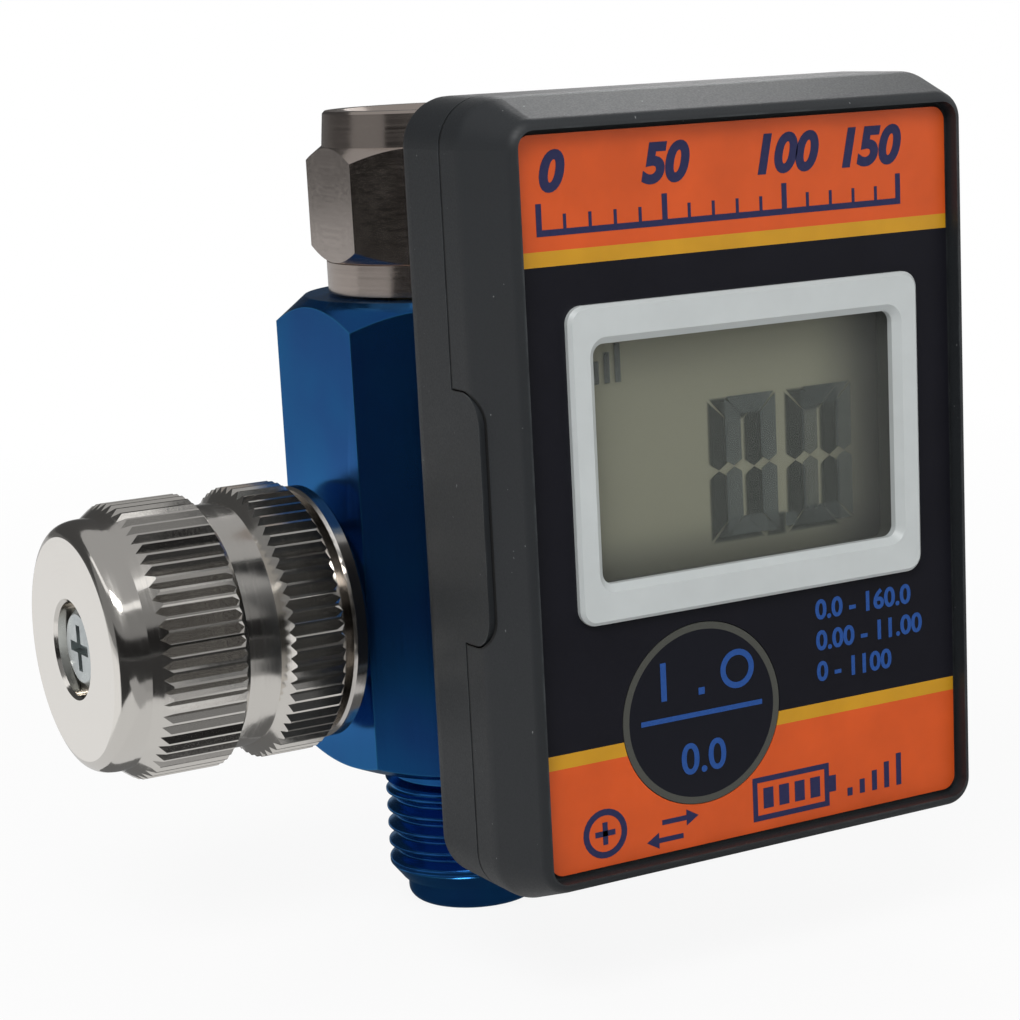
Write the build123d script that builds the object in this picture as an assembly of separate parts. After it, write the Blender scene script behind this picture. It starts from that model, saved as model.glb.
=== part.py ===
from build123d import *
from math import cos, radians, sin, sqrt
import os

# Spray gun air pressure regulator with a digital gauge, in millimetres.
# +Z runs up the body's axis, from the hose thread to the swivel nut.
# The gauge looks along -Y and the knob sticks out along -X.
# The origin is on the body's axis, where the hose thread's full diameter begins.

# How far a cutting shape runs past the face that it cuts
overrun = 1.0

# Body: hexagonal bar with a turned dome, hose thread and nose below
body_across_flats = 22.0
body_top = 38.0
body_top_rim_radius = 10.4
body_top_chamfer_angle = 40.0
shoulder_height = 0.9
dome_radius = 26.75
inlet_major_radius = 6.6
inlet_thread_length = 6.85
inlet_chamfer = 0.9
relief_radius = 5.95
relief_chamfer = 0.35
nose_radius = 5.25
nose_start = -8.0
nose_end = -9.9
nose_rounding = 0.9
nose_seat_chamfer = 1.2

# Air passages in the body
knob_height = 14.8
inlet_bore_radius = 2.6
supply_bore_radius = 3.6
supply_bore_depth = 7.5
seat_step = 3.0
outlet_chamber_radius = 5.0
bonnet_thread_length = 4.0
bonnet_thread_radius = 5.5
outlet_bore_radius = 3.0
outlet_bore_floor = 24.0
link_passage_radius = 1.2
link_passage_setback = 0.4
gauge_port_height = 25.6
gauge_thread_radius = 4.864
gauge_thread_end = 4.2
gauge_tap_radius = 1.5
spot_face_radius = 7.0
spot_face_depth = 2.0

# Swivel joint at the top
stem_thread_radius = 4.6
stem_thread_floor = 31.5
stem_thread_end_gap = 0.5
stem_bore_radius = 2.2
stem_shank_radius = 5.0
stem_socket_across_flats = 5.0
stem_flange_radius = 5.6
stem_flange_thickness = 1.5
stem_cone_tip_radius = 3.6
stem_cone_height = 1.7
stem_ring_outer_radius = 5.9
stem_ring_height = 1.1
swivel_washer_thickness = 0.4
nut_gap = 0.2
nut_running_gap = 0.08
nut_across_flats = 17.0
nut_turn_angle = -6.5
nut_skirt_radius = 8.55
nut_skirt_height = 2.3
nut_hex_height = 8.5
nut_hex_chamfer_height = 1.05
nut_hex_rim_radius = 8.45
nut_collar_base_radius = 8.4
nut_collar_top_radius = 8.2
nut_collar_height = 2.6
nut_web_thickness = 3.8
nut_thread_radius = 5.95
nut_thread_length = 5.0
nut_undercut_radius = 6.7
nut_mouth_chamfer = 0.8

# Bonnet and its cap, along the knob's axis
gasket_thickness = 0.5
bonnet_neck_radius = 6.3
bonnet_sleeve_end_gap = 0.1
bonnet_bore_radius = 4.5
bonnet_neck_length = 0.9
flange_thickness = 1.2
flange_radius = 9.54
flange_edge = 0.2
bonnet_tube_radius = 6.6
bonnet_tube_length = 10.8
cap_thickness = 2.4
cap_radius = 5.4
keyway_setback = 1.5
keyway_width = 2.0
keyway_radius = 5.0

# Spindle, adjusting nut and knob
spindle_radius = 2.5
spindle_tip_gap = 1.0
spindle_running_gap = 0.05
collar_radius = 3.6
collar_thickness = 0.5
thrust_washer_thickness = 0.4
thrust_washer_radius = 4.3
clip_groove_radius = 2.0
clip_radius = 3.8
clip_thickness = 0.5
clip_gap = 0.05
clip_mouth_width = 3.6
drive_across_flats = 4.0
drive_setback = 0.9
drive_length = 3.7
screw_thread_radius = 1.5
screw_hole_depth = 6.0
screw_tip_gap = 1.0
screw_clearance = 0.1
thread_tip_chamfer = 0.4
screw_head_radius = 3.0
screw_head_height = 1.1
screw_head_edge = 0.5
screw_slot_width = 0.75
screw_slot_length = 3.4
screw_slot_depth = 0.7
adjusting_nut_thickness = 2.1
adjusting_nut_gap = 0.2
adjusting_nut_rim_height = 0.8
slide_gap = 0.05
knob_mouth_gap = 0.8
knob_length = 17.16
knob_radius = 10.14
knob_cap_radius = 9.25
knob_end_face_radius = 8.18
knob_end_rounding = 1.9
knob_mouth_chamfer = 0.45
knob_floor_gap = 1.2
knob_web_thickness = 0.9
knob_running_gap = 0.08
knob_recess_radius = 3.47
knob_recess_chamfer = 0.25
rear_band_length = 4.1
waist_length = 3.9
front_band_length = 5.5
waist_radius = 9.1
waist_shoulder_length = 0.75
cap_step_length = 1.25
flute_count = 64
flute_depth = 0.42

# Piston, valve and springs
piston_face_gap = 0.9
piston_length = 2.7
piston_gap = 0.05
piston_groove_radius = 3.6
piston_groove_width = 1.3
piston_groove_start = 0.7
piston_boss_radius = 2.6
piston_boss_height = 0.8
piston_stem_radius = 1.0
piston_stem_tip = 5.6
ring_gap = 0.03
seat_thickness = 1.5
seat_orifice_radius = 1.5
seat_lip_radius = 2.1
seat_lip_height = 0.3
seat_lip_taper = 0.2
seat_groove_radius = 4.3
seat_groove_width = 0.8
spacer_bore_radius = 4.1
pad_radius = 2.3
pad_thickness = 0.8
poppet_radius = 2.5
poppet_length = 3.3
poppet_pin_radius = 0.8
poppet_fin_count = 3
poppet_fin_width = 1.2
poppet_fin_gap = 0.08
poppet_boss_radius = 1.5
poppet_boss_length = 0.8
wire_facets = 6
main_spring_wire = 0.9
main_spring_mean_radius = 3.45
main_spring_turns = 4.0
poppet_spring_wire = 0.4
poppet_spring_mean_radius = 1.9
poppet_spring_turns = 4.0

# Gauge stem, seal, nut and sensor, by their distance in front of the body's axis
gauge_seal_thickness = 0.8
gauge_seal_radius = 6.3
stem_hex_across_flats = 12.0
stem_hex_thickness = 3.4
stem_hex_edge = 0.4
gauge_thread_gap = 0.2
gauge_neck_radius = 4.0
gauge_neck_length = 2.4
gauge_flange_radius = 6.0
gauge_flange_thickness = 1.4
gauge_stem_bore_radius = 1.2
gauge_end_thread_radius = 3.5
gauge_end_thread_length = 2.2
stem_nut_across_flats = 10.0
stem_nut_thickness = 1.8
sensor_radius = 3.2
sensor_height = 2.4
sensor_rim_radius = 3.9
sensor_rim_thickness = 0.5

# Gauge case, by its distance in front of the body's axis
case_offset = 7.5
case_width = 39.2
case_height = 54.6
case_depth = 14.0
rear_shell_depth = 6.8
case_wall = 1.8
case_corner_radius = 3.3
case_back_rounding = 2.4
case_seam = 0.15
front_straight_length = 2.6
case_taper_angle = 19.0
case_crease_rounding = 2.5
case_front_rounding = 0.9
front_wall = 1.6
face_setback = 1.0
label_thickness = 0.3
recess_side_border = 2.0
recess_end_border = 2.1
recess_corner_radius = 1.2
label_margin = 0.35
label_corner_radius = 1.0
tongue_height = 17.3
tongue_drop = 0.45
tongue_reach = 3.6
tongue_thickness = 1.0
tongue_corner_radius = 2.2
tongue_gap = 0.1
lip_thickness = 0.8
lip_height = 1.0
lip_gap = 0.05
boss_inset_x = 4.4
boss_inset_z = 4.4
front_boss_radius = 2.2
rear_boss_radius = 3.0
case_screw_radius = 1.1
case_screw_head_radius = 1.9
case_screw_head_height = 1.1
case_screw_sink_radius = 2.1
case_screw_sink_depth = 1.6
case_screw_length = 7.6
case_screw_clearance = 0.1
case_screw_slot_length = 2.2
case_screw_slot_width = 0.5
case_screw_slot_depth = 0.6

# Display
display_offset_z = 2.9
bezel_width = 28.5
bezel_height = 21.5
bezel_corner_radius = 1.2
bezel_proud = 0.6
bezel_side_border = 2.0
bezel_end_border = 2.65
bezel_opening_radius = 0.8
bezel_bevel = 0.5
bezel_edge = 0.25
throat_border = 1.0
throat_gap = 0.05
throat_corner_extra = 0.4
window_border = 0.25
window_thickness = 1.0
window_depth = 0.4
window_gap = 0.05
lcd_side_border = 1.45
lcd_end_border = 2.1
lcd_thickness = 1.8
lcd_gap = 0.2
reflector_inset_x = 0.4
reflector_inset_z = 2.3
reflector_thickness = 0.4
lcd_frame_wall = 1.2
lcd_frame_gap = 0.05
lcd_frame_setback = 0.4
strip_width = 1.6
strip_end_inset = 0.7
strip_inset = 0.3

# Circuit board and what it carries
board_side_gap = 1.0
board_end_gap = 0.9
board_thickness = 1.0
board_corner_radius = 1.0
button_offset_x = -4.67
button_offset_z = -15.4
button_radius = 6.44
button_gap = 0.06
button_thickness = 0.5
button_pocket_depth = 0.7
button_boss_radius = 3.0
button_boss_gap = 0.08
switch_size = 6.0
switch_height = 2.0
plunger_radius = 1.6
plunger_reach = 1.0
plunger_sink = 0.5
plunger_hole_depth = 1.0
plunger_gap = 0.05
battery_side_gap = 0.7
battery_end_gap = 3.1
battery_radius = 10.0
battery_thickness = 3.2
battery_chamfer = 0.4
battery_rim_radius = 8.6
battery_rim_depth = 0.3
contact_thickness = 0.3
contact_radius = 5.0
clip_strap_width = 5.0
clip_strap_thickness = 0.3
clip_foot_length = 1.4
clip_side_gap = 0.1


def turned_z(outline):
    # (radius, height) outline turned about the body's axis
    face = Plane.XZ * make_face(Polyline(*outline, close=True))
    return revolve(face, Axis.Z, 360)


def turned_x(outline):
    # (distance out along the knob's axis, radius) outline turned about that axis
    points = [(-out, radius) for out, radius in outline]
    face = Plane.XZ * make_face(Polyline(*points, close=True))
    return Pos(0, 0, knob_height) * revolve(face, Axis.X, 360)


def turned_y(outline, x=0.0, z=gauge_port_height):
    # (distance in front of the body's axis, radius) outline turned about the gauge's axis
    points = [(-front, radius) for front, radius in outline]
    face = Plane.YZ * make_face(Polyline(*points, close=True))
    return Pos(x, 0, z) * revolve(face, Axis.Y, 360)


def tube_x(start, end, outer, inner=0.0):
    return turned_x([(start, inner), (end, inner), (end, outer), (start, outer)])


def tube_y(start, end, outer, inner=0.0, x=0.0, z=gauge_port_height):
    outline = [(start, inner), (end, inner), (end, outer), (start, outer)]
    return turned_y(outline, x, z)


def tube_z(bottom, top, outer, inner=0.0):
    return turned_z([(inner, bottom), (outer, bottom), (outer, top), (inner, top)])


def facing(start, end, profile, x, z):
    # A profile in the gauge face's plane, from one distance in front of the axis to another
    plane = Plane(origin=(x, -start, z), x_dir=(1, 0, 0), z_dir=(0, -1, 0))
    return extrude(plane * profile, end - start)


def hex_bar_z(across_flats, bottom, top, turn=0.0):
    # Two flats face -X and +X at no turn
    profile = RegularPolygon(across_flats / sqrt(3), 6, rotation=30 + turn)
    return Pos(0, 0, bottom) * extrude(profile, top - bottom)


def coil_x(start, end, wire, mean_radius, turns):
    # Wire coil along the knob's axis, between two flat seats
    height = abs(end - start) - wire
    low = min(start, end) + wire / 2
    path = Helix(pitch=height / turns, height=height, radius=mean_radius)
    section = Plane(origin=path @ 0, z_dir=path % 0) * RegularPolygon(wire / 2, wire_facets)
    coil = sweep(section, path=path)
    return Pos(-low, 0, knob_height) * Rot(0, -90, 0) * coil


body_corner_radius = body_across_flats / sqrt(3)
body_face = body_across_flats / 2
spot_face_reach = body_face - spot_face_depth
bonnet_thread_start = body_face - bonnet_thread_length
link_passage_reach = bonnet_thread_start - link_passage_setback
gauge_hex_start = spot_face_reach + gauge_seal_thickness
gauge_hex_end = gauge_hex_start + stem_hex_thickness
case_back = gauge_hex_end + gauge_neck_length + gauge_flange_thickness
case_parting = case_back + rear_shell_depth
case_straight_end = case_parting + front_straight_length
case_front = case_back + case_depth
face_plane = case_front - face_setback
case_inner_back = case_back + case_wall
gauge_stem_end = case_inner_back + gauge_end_thread_length
case_x = case_offset
case_z = gauge_port_height
display_x = case_x
display_z = case_z + display_offset_z
button_x = case_x + button_offset_x
button_z = case_z + button_offset_z


# Regulator body
def body_envelope():
    dome_centre = shoulder_height + sqrt(dome_radius**2 - relief_radius**2)
    corner = body_corner_radius + 0.5
    dome_rim = dome_centre - sqrt(dome_radius**2 - corner**2)
    dome_mid_radius = (relief_radius + corner) / 2
    dome_mid = dome_centre - sqrt(dome_radius**2 - dome_mid_radius**2)
    chamfer_drop = (corner - body_top_rim_radius) * sin(radians(body_top_chamfer_angle))
    chamfer_drop = chamfer_drop / cos(radians(body_top_chamfer_angle))
    start_of_relief = (relief_radius, relief_chamfer)
    shoulder = (relief_radius, shoulder_height)
    below = Polyline(
        (0, nose_end),
        (nose_radius - nose_rounding, nose_end),
    )
    rounding = RadiusArc(
        (nose_radius - nose_rounding, nose_end),
        (nose_radius, nose_end + nose_rounding),
        -nose_rounding,
    )
    thread = Polyline(
        (nose_radius, nose_end + nose_rounding),
        (nose_radius, nose_start),
        (inlet_major_radius - inlet_chamfer, nose_start),
        (inlet_major_radius, -inlet_thread_length),
        (inlet_major_radius, 0),
        start_of_relief,
        shoulder,
    )
    dome = ThreePointArc(shoulder, (dome_mid_radius, dome_mid), (corner, dome_rim))
    above = Polyline(
        (corner, dome_rim),
        (corner, body_top - chamfer_drop),
        (body_top_rim_radius, body_top),
        (0, body_top),
        (0, nose_end),
    )
    face = Plane.XZ * make_face([below, rounding, thread, dome, above])
    return revolve(face, Axis.Z, 360)


def regulator_body():
    body = body_envelope() & hex_bar_z(body_across_flats, nose_end - overrun, body_top + overrun)
    body -= tube_z(nose_end - overrun, knob_height, inlet_bore_radius)
    body -= turned_z([
        (0, nose_end - 0.01),
        (inlet_bore_radius + nose_seat_chamfer, nose_end - 0.01),
        (inlet_bore_radius, nose_end + nose_seat_chamfer),
        (0, nose_end + nose_seat_chamfer),
    ])
    body -= tube_x(-supply_bore_depth, seat_step, supply_bore_radius)
    body -= tube_x(seat_step, bonnet_thread_start, outlet_chamber_radius)
    body -= tube_x(bonnet_thread_start, body_face + overrun, bonnet_thread_radius)
    body -= tube_z(outlet_bore_floor, stem_thread_floor, outlet_bore_radius)
    body -= tube_z(stem_thread_floor, body_top + overrun, stem_thread_radius)
    body -= tube_z(body_top - stem_ring_height, body_top + overrun, stem_ring_outer_radius)
    body -= link_passage()
    body -= tube_y(0, spot_face_reach, gauge_tap_radius)
    body -= tube_y(gauge_thread_end, spot_face_reach + overrun, gauge_thread_radius)
    body -= tube_y(spot_face_reach, body_corner_radius + overrun, spot_face_radius)
    return body


def link_passage():
    # Angled drilling from the outlet chamber up to the outlet bore
    low = Vector(-link_passage_reach, 0, knob_height + outlet_chamber_radius / 2)
    high = Vector(-outlet_bore_radius / 2, 0, outlet_bore_floor + outlet_bore_radius / 2)
    plane = Plane(origin=low, z_dir=high - low)
    return extrude(plane * Circle(link_passage_radius), (high - low).length)


# Swivel joint
nut_bottom = body_top + nut_gap
nut_hex_bottom = nut_bottom + nut_skirt_height
nut_hex_top = nut_hex_bottom + nut_hex_height
nut_top = nut_hex_top + nut_collar_height
nut_web_top = nut_bottom + nut_web_thickness
stem_flange_bottom = nut_web_top + swivel_washer_thickness
stem_flange_top = stem_flange_bottom + stem_flange_thickness
stem_top = stem_flange_top + stem_cone_height
nut_thread_top = nut_top - nut_mouth_chamfer
nut_thread_bottom = nut_thread_top - nut_thread_length


def swivel_stem():
    bottom = stem_thread_floor + stem_thread_end_gap
    stem = turned_z([
        (stem_bore_radius, bottom),
        (stem_thread_radius, bottom),
        (stem_thread_radius, body_top),
        (stem_shank_radius, body_top),
        (stem_shank_radius, stem_flange_bottom),
        (stem_flange_radius, stem_flange_bottom),
        (stem_flange_radius, stem_flange_top),
        (stem_cone_tip_radius, stem_top),
        (stem_bore_radius, stem_top),
    ])
    return stem - hex_bar_z(stem_socket_across_flats, body_top, stem_top + overrun)


def stem_o_ring():
    return tube_z(body_top - stem_ring_height, body_top, stem_ring_outer_radius, stem_thread_radius)


def swivel_washer():
    washer = tube_z(nut_web_top, stem_flange_bottom, stem_flange_radius, stem_shank_radius)
    return washer


def swivel_nut():
    corner = nut_across_flats / sqrt(3) + 0.3
    rim = nut_hex_rim_radius
    slope = nut_hex_chamfer_height / (nut_across_flats / sqrt(3) - rim)
    drop = (corner - rim) * slope
    turned = turned_z([
        (0, nut_hex_bottom),
        (rim, nut_hex_bottom),
        (corner, nut_hex_bottom + drop),
        (corner, nut_hex_top - drop),
        (rim, nut_hex_top),
        (0, nut_hex_top),
    ])
    nut = turned & hex_bar_z(nut_across_flats, nut_hex_bottom, nut_hex_top, nut_turn_angle)
    nut += tube_z(nut_bottom, nut_hex_bottom, nut_skirt_radius)
    nut += turned_z([
        (0, nut_hex_top),
        (nut_collar_base_radius, nut_hex_top),
        (nut_collar_top_radius, nut_top - nut_gap),
        (nut_collar_top_radius - nut_gap, nut_top),
        (0, nut_top),
    ])
    nut -= tube_z(nut_bottom - overrun, nut_web_top, stem_shank_radius + nut_running_gap)
    nut -= turned_z([
        (0, nut_web_top),
        (nut_undercut_radius, nut_web_top),
        (nut_undercut_radius, nut_thread_bottom),
        (nut_thread_radius, nut_thread_bottom),
        (nut_thread_radius, nut_thread_top),
        (nut_thread_radius + nut_mouth_chamfer, nut_top),
        (nut_thread_radius + nut_mouth_chamfer, nut_top + overrun),
        (0, nut_top + overrun),
    ])
    return nut


# Bonnet
neck_start = body_face + gasket_thickness
flange_start = neck_start + bonnet_neck_length
flange_end = flange_start + flange_thickness
bonnet_end = flange_end + bonnet_tube_length
keyway_start = body_face + keyway_setback
cap_start = bonnet_end - cap_thickness


def bonnet():
    sleeve_start = bonnet_thread_start + bonnet_sleeve_end_gap
    shape = turned_x([
        (sleeve_start, bonnet_bore_radius),
        (cap_start, bonnet_bore_radius),
        (cap_start, cap_radius),
        (bonnet_end, cap_radius),
        (bonnet_end, bonnet_tube_radius),
        (flange_end, bonnet_tube_radius),
        (flange_end, flange_radius - flange_edge),
        (flange_end - flange_edge, flange_radius),
        (flange_start + flange_edge, flange_radius),
        (flange_start, flange_radius - flange_edge),
        (flange_start, bonnet_neck_radius),
        (neck_start, bonnet_neck_radius),
        (neck_start, bonnet_thread_radius),
        (sleeve_start, bonnet_thread_radius),
    ])
    length = cap_start - keyway_start
    keyway = Box(length, 2 * keyway_radius, keyway_width)
    keyway = Pos(-(keyway_start + cap_start) / 2, 0, knob_height) * keyway
    keyway &= tube_x(keyway_start, cap_start, keyway_radius)
    return shape - keyway


def bonnet_gasket():
    return tube_x(body_face, neck_start, bonnet_neck_radius, bonnet_thread_radius)


def bonnet_cap():
    return tube_x(cap_start, bonnet_end, cap_radius, spindle_radius + spindle_running_gap)


# Spindle and adjusting nut
washer_start = cap_start - thrust_washer_thickness
collar_start = washer_start - collar_thickness
spindle_tip = flange_end + spindle_tip_gap
drive_start = bonnet_end + drive_setback
drive_end = drive_start + drive_length
screw_hole_floor = drive_end - screw_hole_depth
clip_start = bonnet_end + clip_gap
clip_end = clip_start + clip_thickness
nut_outer_face = collar_start - adjusting_nut_gap
nut_inner_face = nut_outer_face - adjusting_nut_thickness


def thrust_washer():
    bore = spindle_radius + spindle_running_gap
    return tube_x(washer_start, cap_start, thrust_washer_radius, bore)


def drive_profile(gap=0.0):
    side = drive_across_flats + 2 * gap
    return Rectangle(side, side) & Circle(spindle_radius + gap)


def drive_bar(start, end, gap=0.0):
    plane = Plane(origin=(-start, 0, knob_height), x_dir=(0, 1, 0), z_dir=(-1, 0, 0))
    return extrude(plane * drive_profile(gap), end - start)


def adjusting_spindle():
    spindle = turned_x([
        (spindle_tip, 0),
        (spindle_tip, spindle_radius - thread_tip_chamfer),
        (spindle_tip + thread_tip_chamfer, spindle_radius),
        (collar_start, spindle_radius),
        (collar_start, collar_radius),
        (washer_start, collar_radius),
        (washer_start, spindle_radius),
        (clip_start, spindle_radius),
        (clip_start, clip_groove_radius),
        (clip_end, clip_groove_radius),
        (clip_end, spindle_radius),
        (drive_start, spindle_radius),
        (drive_start, 0),
    ])
    spindle += drive_bar(drive_start, drive_end)
    return spindle - tube_x(screw_hole_floor, drive_end + overrun, screw_thread_radius)


def spindle_clip():
    clip = tube_x(clip_start, clip_end, clip_radius, clip_groove_radius)
    reach = clip_radius + overrun
    mouth = Box(clip_thickness + overrun, clip_mouth_width, reach)
    height = knob_height - reach / 2
    return clip - Pos(-(clip_start + clip_end) / 2, 0, height) * mouth


def adjusting_nut():
    radius = bonnet_bore_radius - slide_gap
    rim_inner = main_spring_mean_radius + main_spring_wire / 2 + slide_gap
    nut = tube_x(nut_inner_face, nut_outer_face, radius)
    nut += tube_x(nut_inner_face - adjusting_nut_rim_height, nut_inner_face, radius, rim_inner)
    length = nut_outer_face - nut_inner_face
    keys = Box(length, 2 * keyway_radius, keyway_width - 2 * slide_gap)
    keys = Pos(-(nut_inner_face + nut_outer_face) / 2, 0, knob_height) * keys
    nut += keys & tube_x(nut_inner_face, nut_outer_face, keyway_radius - slide_gap)
    bore = spindle_radius + spindle_running_gap
    return nut - tube_x(nut_inner_face - overrun, nut_outer_face + overrun, bore)


# Knob
knob_mouth = flange_end + knob_mouth_gap
knob_end = knob_mouth + knob_length
knob_floor = bonnet_end + knob_floor_gap
rear_band_end = knob_mouth + rear_band_length
front_band_start = rear_band_end + waist_length
front_band_end = front_band_start + front_band_length
knob_bore_radius = bonnet_tube_radius + knob_running_gap
knob_recess_floor = drive_end + knob_web_thickness


def knob_blank():
    cap_start_at = front_band_end + cap_step_length
    rounding_start = knob_end - knob_end_rounding
    inner = Polyline(
        (-knob_floor, 0),
        (-knob_floor, knob_bore_radius),
        (-knob_mouth, knob_bore_radius),
        (-knob_mouth, knob_radius - knob_mouth_chamfer),
        (-knob_mouth - knob_mouth_chamfer, knob_radius),
        (-rear_band_end, knob_radius),
        (-rear_band_end - waist_shoulder_length, waist_radius),
        (-front_band_start + waist_shoulder_length, waist_radius),
        (-front_band_start, knob_radius),
        (-front_band_end, knob_radius),
    )
    step = Line((-front_band_end, knob_radius), (-cap_start_at, knob_cap_radius))
    cap = Line((-cap_start_at, knob_cap_radius), (-rounding_start, knob_cap_radius))
    rounding = Spline(
        (-rounding_start, knob_cap_radius),
        (-knob_end, knob_end_face_radius),
        tangents=((-1, 0), (-0.25, -1)),
    )
    end = Polyline(
        (-knob_end, knob_end_face_radius),
        (-knob_end, 0),
        (-knob_floor, 0),
    )
    face = Plane.XZ * make_face([inner, step, cap, rounding, end])
    return Pos(0, 0, knob_height) * revolve(face, Axis.X, 360)


def flutes():
    # Straight 90 degree grooves that run through both grip bands
    root = knob_radius - flute_depth
    outer = knob_radius + flute_depth
    profile = Polygon(
        (root, 0),
        (outer, root - outer),
        (outer, outer - root),
        align=None,
    )
    plane = Plane(origin=(-knob_mouth + overrun, 0, knob_height), x_dir=(0, 1, 0), z_dir=(-1, 0, 0))
    length = front_band_end + cap_step_length - knob_mouth + 1
    grooves = [Rot(0, 0, 360 * k / flute_count) * profile for k in range(flute_count)]
    return [extrude(plane * groove, length) for groove in grooves]


def knob():
    shape = knob_blank() - flutes()
    shape -= drive_bar(knob_floor - overrun, drive_end, spindle_running_gap)
    shape -= tube_x(drive_end - overrun, knob_end, screw_thread_radius + screw_clearance)
    shape -= tube_x(knob_recess_floor, knob_end + overrun, knob_recess_radius)
    return shape - turned_x([
        (knob_end - knob_recess_chamfer, 0),
        (knob_end - knob_recess_chamfer, knob_recess_radius),
        (knob_end + 0.01, knob_recess_radius + knob_recess_chamfer),
        (knob_end + 0.01, 0),
    ])


def knob_screw():
    head_top = knob_recess_floor + screw_head_height
    tip = screw_hole_floor + screw_tip_gap
    screw = turned_x([
        (tip, 0),
        (tip, screw_thread_radius - thread_tip_chamfer),
        (tip + thread_tip_chamfer, screw_thread_radius),
        (knob_recess_floor, screw_thread_radius),
        (knob_recess_floor, screw_head_radius),
        (head_top - screw_head_edge, screw_head_radius),
        (head_top, screw_head_radius - screw_head_edge),
        (head_top, 0),
    ])
    slot = Box(screw_slot_depth, screw_slot_width, screw_slot_length)
    slot += Box(screw_slot_depth, screw_slot_length, screw_slot_width)
    return screw - Pos(-head_top + screw_slot_depth / 2, 0, knob_height) * slot


# Piston and valve
piston_face = bonnet_thread_start + piston_face_gap
piston_back = piston_face + piston_length
seat_end = seat_step + seat_thickness
pad_face = seat_step - seat_lip_height
pad_back = pad_face - pad_thickness
poppet_back = pad_back - poppet_length


def piston():
    radius = bonnet_bore_radius - piston_gap
    groove = piston_face + piston_groove_start
    return turned_x([
        (piston_stem_tip, 0),
        (piston_stem_tip, piston_stem_radius),
        (piston_face, piston_stem_radius),
        (piston_face, radius),
        (groove, radius),
        (groove, piston_groove_radius),
        (groove + piston_groove_width, piston_groove_radius),
        (groove + piston_groove_width, radius),
        (piston_back, radius),
        (piston_back, piston_boss_radius),
        (piston_back + piston_boss_height, piston_boss_radius),
        (piston_back + piston_boss_height, 0),
    ])


def piston_o_ring():
    start = piston_face + piston_groove_start
    outer = bonnet_bore_radius - ring_gap
    return tube_x(start, start + piston_groove_width, outer, piston_groove_radius)


def valve_seat():
    groove = seat_step + (seat_thickness - seat_groove_width) / 2
    return turned_x([
        (seat_step - seat_lip_height, seat_orifice_radius),
        (seat_end, seat_orifice_radius),
        (seat_end, outlet_chamber_radius),
        (groove + seat_groove_width, outlet_chamber_radius),
        (groove + seat_groove_width, seat_groove_radius),
        (groove, seat_groove_radius),
        (groove, outlet_chamber_radius),
        (seat_step, outlet_chamber_radius),
        (seat_step, seat_lip_radius),
        (seat_step - seat_lip_height, seat_lip_radius - seat_lip_taper),
    ])


def seat_o_ring():
    start = seat_step + (seat_thickness - seat_groove_width) / 2
    return tube_x(start, start + seat_groove_width, outlet_chamber_radius, seat_groove_radius)


def seat_spacer():
    # Holds the seat against its step and stops the piston at the end of its stroke
    end = bonnet_thread_start + bonnet_sleeve_end_gap
    return tube_x(seat_end, end, outlet_chamber_radius, spacer_bore_radius) - link_passage()


def valve_pad():
    return tube_x(pad_back, pad_face, pad_radius, poppet_pin_radius)


def poppet():
    shape = turned_x([
        (piston_stem_tip, 0),
        (piston_stem_tip, poppet_pin_radius),
        (pad_back, poppet_pin_radius),
        (pad_back, poppet_radius),
        (poppet_back, poppet_radius),
        (poppet_back, poppet_boss_radius),
        (poppet_back - poppet_boss_length, poppet_boss_radius),
        (poppet_back - poppet_boss_length, 0),
    ])
    reach = supply_bore_radius - poppet_fin_gap
    fin = Pos(0, 0, reach / 2) * Box(poppet_length, poppet_fin_width, reach)
    fins = fin
    for k in range(1, poppet_fin_count):
        fins += Rot(360 * k / poppet_fin_count, 0, 0) * fin
    fins = Pos(-(pad_back + poppet_back) / 2, 0, knob_height) * fins
    return shape + (fins & tube_x(poppet_back, pad_back, reach))


def main_spring():
    return coil_x(
        piston_back, nut_inner_face, main_spring_wire, main_spring_mean_radius, main_spring_turns
    )


def poppet_spring():
    return coil_x(
        -supply_bore_depth,
        poppet_back,
        poppet_spring_wire,
        poppet_spring_mean_radius,
        poppet_spring_turns,
    )


# Gauge stem
def hex_bar_y(across_flats, start, end):
    profile = RegularPolygon(across_flats / sqrt(3), 6)
    return facing(start, end, profile, 0, gauge_port_height)


def gauge_stem():
    corner = stem_hex_across_flats / sqrt(3)
    flat = stem_hex_across_flats / 2
    turned_hex = turned_y([
        (gauge_hex_start, 0),
        (gauge_hex_start, flat),
        (gauge_hex_start + stem_hex_edge, corner),
        (gauge_hex_end - stem_hex_edge, corner),
        (gauge_hex_end, flat),
        (gauge_hex_end, 0),
    ])
    stem = turned_hex & hex_bar_y(stem_hex_across_flats, gauge_hex_start, gauge_hex_end)
    stem += tube_y(gauge_thread_end + gauge_thread_gap, gauge_hex_start, gauge_thread_radius)
    stem += tube_y(gauge_hex_end, case_inner_back, gauge_neck_radius)
    stem += tube_y(case_back - gauge_flange_thickness, case_back, gauge_flange_radius)
    stem += tube_y(case_inner_back, gauge_stem_end, gauge_end_thread_radius)
    return stem - tube_y(0, gauge_stem_end + overrun, gauge_stem_bore_radius)


def gauge_seal():
    return tube_y(spot_face_reach, gauge_hex_start, gauge_seal_radius, gauge_thread_radius)


def stem_nut():
    end = case_inner_back + stem_nut_thickness
    nut = hex_bar_y(stem_nut_across_flats, case_inner_back, end)
    return nut - tube_y(case_inner_back - overrun, end + overrun, gauge_end_thread_radius)


# Gauge case
def rounded_block(start, end, width, height, radius, x=case_x, z=case_z):
    return facing(start, end, RectangleRounded(width, height, radius), x, z)


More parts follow.
